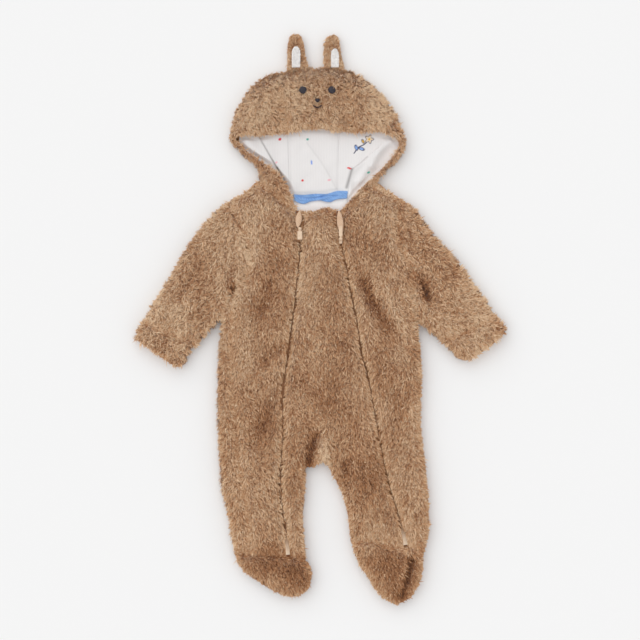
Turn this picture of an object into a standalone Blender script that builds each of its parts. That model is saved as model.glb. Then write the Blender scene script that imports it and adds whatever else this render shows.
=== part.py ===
"""A baby's hooded plush pramsuit with ears, two long zips and feet, laid out flat on its back.

Units are metres. Tables of sizes are in millimetres, seen from above: x to the viewer's right and
y towards the hood, with the surface it lies on at z = 0. "Left" and "right" are the viewer's.
"""

import bpy
import numpy as np
from mathutils import Matrix, Vector

mm = 0.001

# Thicknesses and heights, in millimetres above the surface
middle = 9.0            # where the front layer meets the back layer
plushTop = 21.5         # the tips of the front layer's pile
noseHalf = 2.4          # half the blunt edge where a layer folds or meets the one below
foldedWall = 9.0        # from an outline's fold to the slit inside it
seamWall = 1.5          # the same where the fold ends at a seam
pullReach = 36.0        # how far in from a fold the inner side's points are moved
layerGap = 0.3          # between two pieces that lie on each other
seamGap = 0.2           # from a seam's line to the cloth on each side of it
ankleGap = 0.4
liningThick = 2.0
tapeThick = 1.4
tapeWave = 0.8          # half the height of the tape's ripples
tapeWaveLength = 21.0
roundTop = 17.0         # how far from an outline the front layer rounds off
roundUnder = 8.0        # the same for the back layer, below the outline
roundRim = 9.0          # the same at the hood's opening and at the cuffs
rimShare = 0.42         # how much of the front layer's height a rim keeps

# Zips
zipChannel = 3.0        # from a zip's middle line to the cloth beside it
zipHalf = 2.6
zipTop = 4.2            # above the middle
zipEndRise = 4.0        # how much the bare ends at the ankles stand up
zipEndLength = 24.0

# Cells: how a panel's rows and columns are spaced, closer beside seams and rounded edges
armholeAt = (0, 0.06, 0.2, 0.4, 0.6, 0.8, 0.94, 1)
armholeCells = len(armholeAt) - 1
footRows = (0, 0.1, 0.3, 0.54, 0.76, 0.92, 1)
sideCols = (0, 0.06, 0.17, 0.36, 0.6, 0.8, 0.93, 1)
freeCols = (0, 0.07, 0.2, 0.42, 0.64, 0.82, 0.94, 1)
stripCols = (0, 0.35, 0.7, 1)
rimCols = (0, 0.16, 0.4, 0.68, 1)
underCols = (0, 0.14, 0.5, 1)
crownSeamAt = (0, 0.26, 0.52, 0.78, 0.95, 1)   # the hood's seams underneath, from neck to crown
hemAtTop = 0.87         # the hem's place along the sleeve's two edges
hemAtUnder = 0.56
hemRows = (0.25, 0.5, 0.74, 0.9, 1)   # from the hem to the cuff's end
sleeveCells = 8         # from the armhole to the hem
sleeveFade = 8          # how fast the armhole's bend fades along the sleeve

# Outlines and seams: columns x, y
shoulderLeft = [(-122, 160), (-109, 168), (-90, 177), (-82, 186.5)]
shoulderRight = [(76, 183.5), (81, 178), (95.5, 171), (108.5, 162)]
armholeLeft = [(-122, 160), (-114, 139), (-104, 121), (-96.5, 104), (-93.5, 85), (-95, 69),
               (-101, 56)]
armholeRight = [(108.5, 162), (106, 136), (106, 110), (112.5, 90), (122, 75), (126.5, 56),
                (125, 37.5)]
creaseLeft = [(-101, 56), (-117, 41), (-124.5, 24), (-133, 1)]
creaseRight = [(125, 37.5), (127, 15), (131.5, -4)]
sideLeft = [(-133, 1), (-137, -28), (-138.5, -54), (-140, -112), (-139, -156), (-136, -201),
            (-133.5, -235), (-127, -262), (-120, -297), (-116, -315)]
sideRight = [(131.5, -4), (134, -28), (137, -54), (138, -81), (136.5, -112), (137.5, -156),
             (142, -190), (145, -224), (147.5, -257), (147.5, -288), (144, -306), (141, -315)]
sideSeamLeft = [(-99.5, 56), (-115, 41), (-117.5, 20), (-118, 0), (-120, -54), (-118, -110), (-114, -140), (-113, -168),
                (-110, -195), (-97, -273), (-96, -290), (-99, -316)]
legInnerLeft = [(-19, -201), (-20.5, -235), (-23, -268), (-20.5, -302), (-19.5, -322)]
legInnerRight = [(10, -199), (16, -211), (23, -221), (29, -236), (36.5, -262), (40, -290),
                 (42, -301)]
crotch = [(-19, -201), (-7, -200), (-1, -194.5), (5, -194.5), (10, -199)]
ankleLeft = [(-116, -315), (-99, -316), (-70, -317), (-40, -319), (-19.5, -322)]
ankleRight = [(42, -301), (58, -298.5), (72, -297), (86, -305), (104, -306), (124, -306),
              (141, -315)]
heelLeft = [(-116, -315), (-113, -325), (-104.5, -342)]
toeLeft = [(-104.5, -342), (-89, -351.5), (-73, -362), (-55, -372), (-38, -375.5), (-25, -373),
           (-15, -364)]
instepLeft = [(-19.5, -322), (-19, -328), (-13.5, -334), (-10.5, -345), (-15, -364)]
instepRight = [(42, -301), (45, -314), (52, -331), (63.5, -349)]
toeRight = [(63.5, -349), (75, -367), (88, -380), (101.5, -386), (115, -381.5), (126, -372),
            (134, -360)]
heelRight = [(141, -315), (139.5, -324), (138.5, -345), (134, -360)]
zipLineLeft = [(-30, 146), (-26.5, 106), (-31.5, 50), (-35, 15), (-40, -19), (-45.5, -62),
               (-50.5, -100), (-50, -156), (-53, -201), (-52, -246), (-46.5, -280), (-43, -322)]
zipLineRight = [(25, 146), (27, 108), (36, 70), (43, 29), (51, -11), (56, -45), (65, -80),
                (72, -116), (79, -156), (88, -201), (95, -230), (103.5, -257), (112.5, -290),
                (116, -310)]
neckSeamLeft = [(-82, 186.5), (-60, 168), (-33, 146)]
neckSeamRight = [(28, 146), (50, 161), (76, 183.5)]
neckline = [(-27, 146), (-12, 146.5), (2, 150), (12, 151), (22, 146)]
backNeck = [(-82, 186.5), (-62, 174), (-41, 166), (-9, 163), (24, 164), (50, 172), (76, 183.5)]

# Sleeves
sleeveTopLeft = [(-122, 160), (-133, 155), (-147, 139), (-161, 124), (-175, 106), (-194, 75),
                 (-211, 45), (-223, 29), (-231.5, 13), (-238.5, 0), (-246.5, -10), (-252, -27)]
sleeveTopRight = [(108.5, 162), (117, 162), (127, 151), (136, 139), (155, 113), (173, 94),
                  (184, 79), (196, 67), (216, 36), (227, 24), (236, 6), (243.5, 0), (251.5, -13),
                  (251, -20)]
sleeveUnderLeft = [(-133, 1), (-147, -14), (-161, -30), (-176, -46), (-180, -57)]
sleeveUnderRight = [(131.5, -4), (145.5, -17), (161, -30), (176, -44), (184, -53.5)]
cuffLeft = [(-252, -27), (-238, -36), (-223, -46), (-209, -56), (-196, -65), (-186, -64),
            (-180, -57)]
cuffRight = [(251, -20), (243, -26), (236, -33), (227.5, -39.5), (216, -45), (210, -53),
             (200, -56.5), (184, -53.5)]
hemLeft = [(-238.5, 0), (-207, -19), (-161, -30)]
hemRight = [(237, 5), (208, -10), (180, -24), (161, -30)]

# Hood
hoodOutLeft = [(-82, 186.5), (-89, 209), (-101, 216), (-110, 226.5), (-118.5, 236.5),
               (-122.5, 245.5)]
hoodCrownLeft = [(-122.5, 245.5), (-119.5, 262), (-116.5, 276.5), (-110, 290), (-101, 304),
                 (-89, 319), (-72, 329.5), (-53, 335)]
hoodCrown = [(-53, 335), (-30, 339), (-13, 340.5), (-3, 340), (5, 341), (22, 340), (38.5, 336.5)]
hoodCrownRight = [(116.5, 241.5), (110.5, 259), (105.5, 272.5), (98.5, 284.5), (90, 297),
                  (79.5, 309), (66, 321), (54, 329.5), (38.5, 336.5)]
hoodOutRight = [(76, 183.5), (84, 193), (92, 202), (105.5, 214.5), (115.5, 231.5),
                (116.5, 241.5)]
rimLowLeft = [(-33, 146), (-37.5, 155.5), (-39.5, 169), (-44.5, 181.5), (-53.5, 192),
              (-63.5, 202), (-74, 210.5), (-86, 217.5), (-99.5, 226), (-108, 234.5),
              (-112.5, 243)]
rimHighLeft = [(-112.5, 243), (-104.5, 246.5), (-84, 246), (-67, 248.5), (-46.5, 250.5)]
rimHigh = [(-46.5, 250.5), (-29, 253), (-15, 255.5), (2, 255), (19.5, 252.5), (42.5, 252.5)]
rimHighRight = [(107, 235.5), (100, 245), (88, 248.5), (71, 252), (54, 251), (42.5, 252.5)]
rimLowRight = [(28, 146), (35, 155.5), (43.5, 164.5), (54, 176), (71, 191.5), (86.5, 205.5),
               (97, 217.5), (107, 235.5)]
hoodSeamLeft = [(-46.5, 250.5), (-48, 287), (-53, 302), (-56, 320), (-53, 335)]
hoodSeamRight = [(42.5, 252.5), (41, 282), (40, 302), (38, 322), (38.5, 336.5)]
underSeamLeft = [(-41, 166), (-44, 220), (-48, 280), (-53, 326), (-53, 335)]
underSeamRight = [(24, 164), (27, 220), (32, 280), (38, 327), (38.5, 336.5)]

# Hood lining, tape and yoke
liningSeamLeft = [(-44, 260), (-43, 220), (-40, 166.5)]
liningSeamRight = [(26, 262), (25, 220), (24, 165)]
liningTop = [(-44, 260), (-10, 264), (26, 262)]
liningBottom = [(-40, 166.5), (-9, 163.8), (24, 165)]
flapTopLeft = [(-109, 248.5), (-97, 252), (-84, 254), (-64, 257), (-44, 260)]
flapOutLeft = [(-109, 248.5), (-110, 241), (-106.5, 234), (-99, 226), (-86.5, 216), (-76, 207.5),
               (-67, 198), (-58, 188.5), (-50, 178)]
flapEndLeft = [(-50, 178), (-40, 166.5)]
flapTopRight = [(26, 262), (52, 259), (76, 257), (94, 252), (103, 245)]
flapOutRight = [(103, 245), (107.5, 238), (106, 231), (97, 217), (86, 204.5), (72, 190),
                (60, 180), (50, 174)]
flapEndRight = [(24, 165), (38, 168.8), (50, 174)]
tapeTop = [(-36, 168.5), (-25.5, 167.5), (-5, 169), (11, 169), (19, 172), (38, 173)]
tapeBottom = [(-34.5, 160), (-23, 155), (-15, 158), (2, 160), (12.5, 157.5), (22.5, 161.5),
              (36, 162.5)]
tapeSides = ([(-36, 168.5), (-34.5, 160)], [(38, 173), (36, 162.5)])
yokeTop = [(-46, 168), (-41, 165), (-9, 162), (24, 163), (49, 170.5)]
yokeBottom = [(-40, 137), (-9, 136), (34, 137)]
yokeSides = ([(-46, 168), (-40, 137)], [(49, 170.5), (34, 137)])

# Ears
ears = dict(
    left=dict(
        low=[(-45.5, 340.5), (-30, 341.6), (-14, 342.5)],
        left=[(-42, 381), (-44.5, 371), (-44.5, 354), (-45.5, 340.5)],
        top=[(-42, 381), (-38, 384.5), (-32, 385.7), (-25.5, 382.5)],
        right=[(-25.5, 382.5), (-22.5, 375), (-20.5, 362), (-17, 347), (-14, 342.5)],
        insert=dict(x=(-38.5, -26.5), y=(345, 367.5)),
    ),
    right=dict(
        low=[(5, 342.8), (20, 342.4), (34, 339.8)],
        left=[(9, 380), (5.5, 374), (4.7, 362), (5, 342.8)],
        top=[(9, 380), (13, 383.5), (18, 385), (24.5, 381)],
        right=[(24.5, 381), (27, 371), (28.5, 359), (31.5, 347), (34, 339.8)],
        insert=dict(x=(14.5, 25.5), y=(345, 364.5)),
    ),
)
earTop = 12.0
earMiddle = 6.5
earEdge = 1.5
earRound = 8.0
insertThick = 2.2

# Folds: x0, y0, x1, y1, rise (a trough is below 0), width
folds = [
    (-60, 77, -79, 15, -3.2, 10),
    (-79, 15, -88, -15, -2.6, 10),
    (-52, -35, -79, -62, -3.0, 10),
    (-52, -89, -88, -164, -3.0, 12),
    (43, 77, 74, 20, -3.6, 10),
    (74, 20, 98, -26, -3.0, 11),
    (58, 82, 112, -8, 2.4, 10),
    (107, -108, 107, -166, -2.4, 13),
    (-131, 82, -131, 50, 2.6, 10),
    (103, 94, 134, 66, 2.4, 8),
    (134, 55, 151, 26, -3.2, 8),
    (180, 10, 196, -12, -2.6, 12),
    (-203, 0, -204, -28, -2.6, 12),
    (-160, 70, -190, 40, -2.0, 12),
    (-7, -155, -16, -199, -4.6, 8),
    (2, -168, 5, -188, 2.8, 10),
    (32, -191, 35, -222, -2.4, 7),
    (123, -325, 110, -374, -4.5, 7),
    (113, -335, 110, -362, 2.0, 7),
    (-10, 120, 0, -60, 2.0, 24),
    (-95, -200, -80, -290, 1.8, 22),
    (110, -215, 125, -280, 1.8, 20),
    (-80, 275, -60, 312, 2.0, 20),
    (80, 275, 62, 310, 2.0, 20),
    (-29, 146, -27, 108, -1.6, 9),
    (26, 146, 28, 100, -1.8, 9),
]
# The lining's, inside the hood: the same columns
liningFolds = [
    (-98, 238, -72, 214, 4.0, 8),
    (66, 206, 52, 186, 3.6, 6),
    (88, 238, 70, 214, 2.5, 8),
    (-20, 240, 18, 176, 0.9, 6),
]

# Hard zip parts: the slider's middle, the hinge, which way the tab lies, the tab's length and width
zipPulls = dict(
    left=dict(slider=(-27.2, 117.5), hinge=(-27.2, 121.5), way=-1, length=15.0, width=6.6),
    right=dict(slider=(27.8, 105.5), hinge=(27.8, 107.5), way=1, length=18.0, width=5.0),
)
zipGuards = dict(
    left=dict(start=(-30.2, 145.0), end=(-27.4, 124.8), width=8.6),
    right=dict(start=(25.4, 146.0), end=(28.6, 113.4), width=8.6),
)
sliderSize = (4.4, 8.5, 6.0)
lugThick = 0.8
lugRadius = 1.5
barRadius = 0.7
barHeight = 22.4        # the bar's middle
eyeHole = 1.05
eyeRadius = 1.9
eyeWidth = 2.6
neckLength = 3.4
tabThick = 1.8
guardBottom = 19.2
guardThick = 1.8


# Curves

def smooth(points, steps=12):
    """A curve through the points: each span is a cubic whose end slopes follow its neighbours."""
    p = np.asarray(points, float)
    t = np.r_[0, np.cumsum(np.hypot(*np.diff(p, axis=0).T))]
    slope = np.gradient(p, t, axis=0)
    s = np.linspace(0, 1, steps, endpoint=False)[None, :, None]
    span = np.diff(t)[:, None, None]
    fine = ((1 + 2 * s) * (1 - s) ** 2 * p[:-1, None]
            + s * (1 - s) ** 2 * span * slope[:-1, None]
            + s * s * (3 - 2 * s) * p[1:, None]
            - s * s * (1 - s) * span * slope[1:, None])
    return np.vstack([fine.reshape(-1, 2), p[-1]])


def shares(line):
    """How far along a line of points each one is, from 0 to 1."""
    run = np.r_[0, np.cumsum(np.hypot(*np.diff(line, axis=0).T))]
    return run / run[-1]


def along(points, at):
    """Points of the smooth curve at these shares of its length."""
    fine = smooth(points)
    run = shares(fine)
    return np.column_stack([np.interp(at, run, fine[:, 0]), np.interp(at, run, fine[:, 1])])


def evenly(count):
    return np.linspace(0, 1, count + 1)


def atLevels(points, levels):
    """Points of the smooth curve where it crosses these levels of y, which falls along it."""
    fine = smooth(points)
    return np.column_stack([np.interp(-levels, -fine[:, 1], fine[:, 0]), levels])


def crossing(points, x0, x1, at):
    """Points of a curve that runs left to right, at these shares of the way from x0 to x1."""
    fine = smooth(points)
    x = x0 + (x1 - x0) * np.asarray(at)
    return np.column_stack([x, np.interp(x, fine[:, 0], fine[:, 1])])


def joined(*lines):
    """One line from several, each starting where the last one ends."""
    return np.vstack([lines[0], *[line[1:] for line in lines[1:]]])


def beside(line, distance):
    """The line moved sideways, to the left of someone who walks along it."""
    way = np.gradient(line, axis=0)
    way /= np.linalg.norm(way, axis=1)[:, None]
    return line + np.multiply.outer(distance, [1, 1]) * np.column_stack([-way[:, 1], way[:, 0]])


def patch(top, bottom, left, right, fade=1):
    """A grid of points that blends four edge lines: left to right, and top to bottom. The first two
    give the corners. With a higher fade, their bends reach less far into the grid."""
    left = np.vstack([top[:1], left[1:-1], bottom[:1]])
    right = np.vstack([top[-1:], right[1:-1], bottom[-1:]])
    u = ((shares(top) + shares(bottom)) / 2)[None, :, None]
    v = ((shares(left) + shares(right)) / 2)[:, None, None]
    ruled = (1 - u) * left[:, None] + u * right[:, None]
    bendTop = top - (1 - u) * top[0] - u * top[-1]
    bendBottom = bottom - (1 - u) * bottom[0] - u * bottom[-1]
    return ruled + (1 - v) ** fade * bendTop + v ** fade * bendBottom


def span(a, b):
    """The distance from each point of one line to the same point of another."""
    return np.linalg.norm(np.asarray(b) - a, axis=-1)


def placedOn(line, distance):
    """The points this far along a line of points."""
    run = np.r_[0, np.cumsum(span(line[:-1], line[1:]))]
    return np.stack([np.interp(distance, run, line[:, axis]) for axis in (0, 1)], -1)


def alongRows(rows, depth):
    """The line this far inside the first column of a grid, along each of its rows."""
    return np.array([placedOn(row, distance) for row, distance in zip(rows, depth)])


def slitInside(rows, depth):
    """The line this far inside the first column of a grid: straight in, and along the grid's own rows
    at its two ends."""
    edge = rows[:, 0]
    line = beside(edge, depth)
    other = beside(edge, -depth)
    if (span(other, rows[:, 1]) - span(line, rows[:, 1])).sum() < 0:
        line = other
    line[[0, -1]] = alongRows(rows[[0, -1]], depth[[0, -1]])
    return line


def pulledIn(grid, first=None, last=None):
    """The grid with its first and last columns moved to these lines. The shift fades away from them,
    so that patches which share a row still share it."""
    run = np.cumsum(np.hstack([np.zeros((len(grid), 1)), span(grid[:, :-1], grid[:, 1:])]), axis=1)
    whole = run[:, -1:]
    reach = np.minimum(pullReach, whole * (1 if first is None or last is None else 0.5))
    made = grid.copy()
    moved = run.copy()
    for line, col, far, way in ((first, 0, run, 1), (last, -1, whole - run, -1)):
        if line is not None:
            fade = np.clip(1 - far / reach, 0, 1)
            made += (line - grid[:, col])[:, None] * fade[..., None]
            moved += way * span(line, grid[:, col])[:, None] * fade
    for i in (0, -1):
        made[i] = placedOn(grid[i], moved[i])
    return made


# Heights

def away(xy, line):
    """The distance of each point to the nearest place on a line of points."""
    start, run = line[:-1], np.diff(line, axis=0)
    rel = xy[..., None, :] - start
    t = np.clip((rel * run).sum(-1) / (run ** 2).sum(-1), 0, 1)
    return np.linalg.norm(rel - t[..., None] * run, axis=-1).min(-1)


def nearest(xy, lines):
    """The distance of each point to the nearest of several curves."""
    return np.min([away(xy, smooth(line, 5)) for line in lines], axis=0)


def inside(xy, loop):
    """Whether each point is inside a closed line: it crosses the level of y an odd number of times."""
    a, b = loop, np.roll(loop, -1, axis=0)
    x, y = xy[..., 0, None], xy[..., 1, None]
    over = (a[:, 1] > y) != (b[:, 1] > y)
    height = np.where(b[:, 1] == a[:, 1], 1, b[:, 1] - a[:, 1])
    return (over & (x < a[:, 0] + (y - a[:, 1]) * (b[:, 0] - a[:, 0]) / height)).sum(-1) % 2 == 1


def dome(distance, radius):
    """A quarter circle: 0 on the edge, 1 at the radius and beyond."""
    return np.sqrt(1 - (1 - np.clip(distance / radius, 0, 1)) ** 2)


# What rounds each zone: its free outlines, and the rims where the front layer ends over another
trunk = dict(
    outlines=[shoulderLeft, shoulderRight, sideLeft, sideRight, legInnerLeft, legInnerRight,
              crotch, heelLeft, toeLeft, instepLeft, instepRight, toeRight, heelRight],
    rims=[creaseLeft, creaseRight, neckline],
)
sleeveZones = dict(
    left=dict(outlines=[sleeveTopLeft, sleeveUnderLeft], rims=[creaseLeft, cuffLeft]),
    right=dict(outlines=[sleeveTopRight, sleeveUnderRight], rims=[creaseRight, cuffRight]),
)
hood = dict(
    outlines=[hoodOutLeft, hoodCrownLeft, hoodCrown, hoodCrownRight, hoodOutRight],
    rims=[rimLowLeft, rimHighLeft, rimHigh, rimHighRight, rimLowRight],
)

# Seams sink the pile: the seam, depth, width
grooves = [
    (armholeLeft, 3.0, 5.0), (armholeRight, 3.0, 5.0), (hemLeft, 2.6, 5.0), (hemRight, 2.6, 5.0),
    (neckSeamLeft, 3.0, 6.0), (neckSeamRight, 3.0, 6.0), (sideSeamLeft, 2.4, 5.0),
    (ankleLeft, 2.8, 5.5), (ankleRight, 2.8, 5.5), (hoodSeamLeft, 2.4, 5.0),
    (hoodSeamRight, 2.4, 5.0), (zipLineLeft, 4.4, 8.0), (zipLineRight, 4.4, 8.0),
]


def rises(xy, table):
    """The sum of the table's folds, each a soft ridge or trough along its line."""
    return sum(rise * np.exp(-(away(xy, np.array([(x0, y0), (x1, y1)], float)) / width) ** 2)
               for x0, y0, x1, y1, rise, width in table)


def heightOf(xy, zone):
    """The front layer's top: the pile's height with folds and seams, rounded off at its edges."""
    z = plushTop + rises(xy, folds)
    z -= sum(depth * np.exp(-(nearest(xy, [line]) / width) ** 2) for line, depth, width in grooves)
    rim = rimShare + (1 - rimShare) * dome(nearest(xy, zone["rims"]), roundRim)
    share = np.minimum(dome(nearest(xy, zone["outlines"]), roundTop), rim)
    low = middle + noseHalf
    return low + (z - low) * share


def underOf(xy, zone):
    """The back layer's underside: flat on the surface, rounded up at its outlines."""
    return (middle - noseHalf - sunk(xy)) * (1 - dome(nearest(xy, zone["outlines"]), roundUnder))


def sunk(xy):
    """How much thinner the back layer is, to take the lining inside the hood and at the neck."""
    x, y = xy[..., 0], xy[..., 1]
    atNeck = np.clip((y - 98) / 14, 0, 1) * np.clip((90 - np.abs(x + 5)) / 14, 0, 1)
    return (liningThick + layerGap) * np.where(y > 188, 1, atNeck)


def frontFloor(xy):
    """The underside of the front layer."""
    return np.full(xy.shape[:-1], middle + layerGap / 2)


def backTop(xy):
    """The upper side of the back layer."""
    return middle - layerGap / 2 - sunk(xy)


def at(xy, z):
    """Points in space from a grid seen from above and its heights."""
    return np.concatenate([xy, np.broadcast_to(z, xy.shape[:-1])[..., None]], -1)


# Solids

def material(name, colour, roughness=0.9, metallic=0.0):
    made = bpy.data.materials.get(name) or bpy.data.materials.new(name)
    made.use_nodes = True
    shader = made.node_tree.nodes["Principled BSDF"]
    shader.inputs["Base Color"].default_value = (*colour, 1)
    shader.inputs["Roughness"].default_value = roughness
    shader.inputs["Metallic"].default_value = metallic
    return made


def plush():
    return material("tan_plush", (0.45, 0.27, 0.13), 0.95)


def jersey():
    return material("white_jersey", (0.85, 0.83, 0.8), 0.85)


def hardPlastic():
    return material("beige_painted_metal", (0.72, 0.56, 0.4), 0.45)


def addMesh(name, points, faces, finish):
    mesh = bpy.data.meshes.new(name)
    mesh.from_pydata((np.asarray(points) * mm).tolist(), [], [[int(i) for i in f] for f in faces])
    mesh.materials.append(finish)
    mesh.shade_smooth()
    mesh.set_sharp_from_angle(angle=np.radians(50))
    made = bpy.data.objects.new(name, mesh)
    bpy.context.collection.objects.link(made)
    return made


def wall(name, patches, finish):
    """A closed wall of cloth from patches that share edges. Each patch is two grids of points, the
    outer side and the inner side, and each outer face looks away from the inner one."""
    points = []
    faces = []
    count = 0
    for outer, inner in patches:
        rows, cols = outer.shape[0] - 1, outer.shape[1] - 1
        a = (np.arange(rows)[:, None] * (cols + 1) + np.arange(cols)).ravel()
        quads = np.column_stack([a, a + 1, a + cols + 2, a + cols + 1])
        top, low = outer.reshape(-1, 3), inner.reshape(-1, 3)
        normal = np.cross(top[quads[:, 2]] - top[quads[:, 0]], top[quads[:, 3]] - top[quads[:, 1]])
        outward = top[quads].mean(1) - low[quads].mean(1)
        if (normal * outward).sum() < 0:
            quads = quads[:, ::-1]
        points.append(np.hstack([top, low]))
        faces.append(quads + count)
        count += len(top)
    points = np.vstack(points)
    _, first, place = np.unique(np.round(points, 3), axis=0, return_index=True, return_inverse=True)
    points = points[first]
    faces = place.reshape(-1)[np.vstack(faces)]
    n = len(points)
    edges = np.concatenate([faces[:, [i, (i + 1) % 4]] for i in range(4)])
    known = set(map(tuple, edges))
    sides = [(b, a, a + n, b + n) for a, b in edges if (b, a) not in known]
    both = np.vstack([points[:, :3], points[:, 3:]])
    return addMesh(name, both, [*faces, *(faces[:, ::-1] + n), *sides], finish)


def frontWall(grid, zone, under=None):
    """A patch of a front layer."""
    under = grid if under is None else under
    return at(grid, heightOf(grid, zone)), at(under, frontFloor(under))


def backWall(grid, zone, upper=None):
    """A patch of a back layer."""
    upper = grid if upper is None else upper
    return at(grid, underOf(grid, zone)), at(upper, backTop(upper))


def foldBetween(a, i, b, j):
    """The blunt strip round a fold, from a column of a front patch to one of a back patch."""
    return tuple(np.stack([x[:, i], y[:, j]], 1) for x, y in zip(a, b))


def rowsOf(part, start, stop=None):
    """Some rows of a patch."""
    return tuple(grid[start:stop] for grid in part)


# The trunk's lines, one point for each row, and each seam's two sides

rowsLeft = np.r_[56, 41, 21, np.linspace(1, -178, 9), -193, -201]
rowsRight = np.r_[37.5, 16.5, np.linspace(-4, -178, 10), -191, -199]
bodyCells = len(rowsLeft) - 1
legCells = 6
crotchRow = armholeCells + bodyCells


def legRows(start, end):
    return start + (end - start) * evenly(legCells)


def zipRows(points, rows, end):
    """A zip's middle line, from the neck past the armhole's rows and the body's to the ankle."""
    top = points[0][1]
    upper = top + (rows[0] - top) * np.array(armholeAt)
    return atLevels(points, np.r_[upper[:-1], rows, legRows(rows[-1], end)[1:]])


def twoSides(line):
    """A seam's two sides: to the left of someone who walks along it, and to the right."""
    return beside(line, seamGap), beside(line, -seamGap)


zipLeft = zipRows(zipLineLeft, rowsLeft, -318.8)
zipRight = zipRows(zipLineRight, rowsRight, -305.5)
armLeft = joined(along(armholeLeft, armholeAt), along(creaseLeft, evenly(3)))
armRight = joined(along(armholeRight, armholeAt), along(creaseRight, evenly(2)))
armBodyLeft, armSleeveLeft = twoSides(armLeft)
armSleeveRight, armBodyRight = twoSides(armRight)
edgeLeft = joined(armBodyLeft, atLevels(sideLeft, np.r_[rowsLeft[3:], legRows(rowsLeft[-1], -315)[1:]]))
edgeRight = joined(armBodyRight,
                   atLevels(sideRight, np.r_[rowsRight[2:], legRows(rowsRight[-1], -315)[1:]]))
seamFront, seamStrip = twoSides(
    atLevels(sideSeamLeft, np.r_[rowsLeft, legRows(rowsLeft[-1], -316)[1:]]))
legLeft = atLevels(legInnerLeft, legRows(-201, -322))
legRight = atLevels(legInnerRight, legRows(-199, -301))
neckHoodLeft, neckFrontLeft = twoSides(along(neckSeamLeft, 1 - np.array(rimCols)[::-1]))
neckHoodRight, neckFrontRight = twoSides(along(neckSeamRight, rimCols))
underNeckLeft = along(backNeck[:3], underCols)
underNeckCentre = along(backNeck[2:5], evenly(6))
underNeckRight = along(backNeck[4:], 1 - np.array(underCols)[::-1])
neckHoodUnder, neckBack = twoSides(joined(underNeckLeft, underNeckCentre, underNeckRight))
tipCells, crownCells = 6, 7     # along a hood side's rim: to its tip, and on to the crown's seam
hoodSeams = {side: twoSides(along(table, rimCols))
             for side, table in (("left", hoodSeamLeft), ("right", hoodSeamRight))}
underSeams = {side: twoSides(along(table, crownSeamAt))
              for side, table in (("left", underSeamLeft), ("right", underSeamRight))}


def ankleAt(points, x0, x1, cols):
    """A panel's end at the ankle seam."""
    return crossing(points, x0, x1, cols) + (0, ankleGap)


# Each leg's fork line from the crotch row, and the panels' ends at the ankles, left to right
edgeZips = dict(left=(beside(zipLeft, -zipChannel), beside(zipLeft, zipChannel)),
                right=(beside(zipRight, -zipChannel), beside(zipRight, zipChannel)))
frontForkLeft = along([edgeZips["left"][1][crotchRow], legLeft[0]], (0, 0.3, 0.64, 0.88, 1))
frontForkRight = along([legRight[0], edgeZips["right"][0][crotchRow]], (0, 0.06, 0.22, 0.5, 0.8, 1))
backForkLeft = along([edgeLeft[crotchRow], legLeft[0]], (0, 0.07, 0.25, 0.48, 0.72, 0.93, 1))
backForkRight = along([legRight[0], edgeRight[crotchRow]], (0, 0.06, 0.28, 0.52, 0.76, 0.94, 1))
ankles = dict(
    strip=ankleAt(ankleLeft, edgeLeft[-1, 0], seamStrip[-1, 0], stripCols),
    frontLeft=ankleAt(ankleLeft, seamFront[-1, 0], edgeZips["left"][0][-1, 0], sideCols),
    centreLeft=ankleAt(ankleLeft, edgeZips["left"][1][-1, 0], legLeft[-1, 0], shares(frontForkLeft)),
    centreRight=ankleAt(ankleRight, legRight[-1, 0], edgeZips["right"][0][-1, 0],
                        shares(frontForkRight)),
    frontRight=ankleAt(ankleRight, edgeZips["right"][1][-1, 0], edgeRight[-1, 0], freeCols),
    backLeft=ankleAt(ankleLeft, edgeLeft[-1, 0], legLeft[-1, 0], shares(backForkLeft)),
    backRight=ankleAt(ankleRight, legRight[-1, 0], edgeRight[-1, 0], shares(backForkRight)),
)


def makeFrontLeft():
    """From the side seam and the armhole to the left zip."""
    top = joined(along(shoulderLeft, (0, 0.12, 0.5, 1)), neckFrontLeft)
    left = np.vstack([armBodyLeft[:armholeCells], seamFront])
    top[0] = left[0]
    grid = patch(top, ankles["frontLeft"], left, edgeZips["left"][0])
    wall("front_left", [frontWall(grid, trunk)], plush())


def makeFrontRight():
    """From the right zip to the armhole and the outline."""
    top = joined(neckFrontRight, along(shoulderRight, (0, 0.5, 0.88, 1)))
    top[-1] = edgeRight[0]
    grid = patch(top, ankles["frontRight"], edgeZips["right"][1], edgeRight)
    wall("front_right", [frontWall(grid, trunk)], plush())


def makeFrontCentre():
    """Between the zips, forked at the crotch."""
    left, right = edgeZips["left"][1], edgeZips["right"][0]
    low = joined(frontForkLeft, along(crotch, evenly(3)), frontForkRight)
    top = along(neckline, shares(low))
    grids = [patch(top, low, left[:crotchRow + 1], right[:crotchRow + 1]),
             patch(frontForkLeft, ankles["centreLeft"], left[crotchRow:], legLeft),
             patch(frontForkRight, ankles["centreRight"], legRight, right[crotchRow:])]
    wall("front_centre", [frontWall(grid, trunk) for grid in grids], plush())


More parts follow.
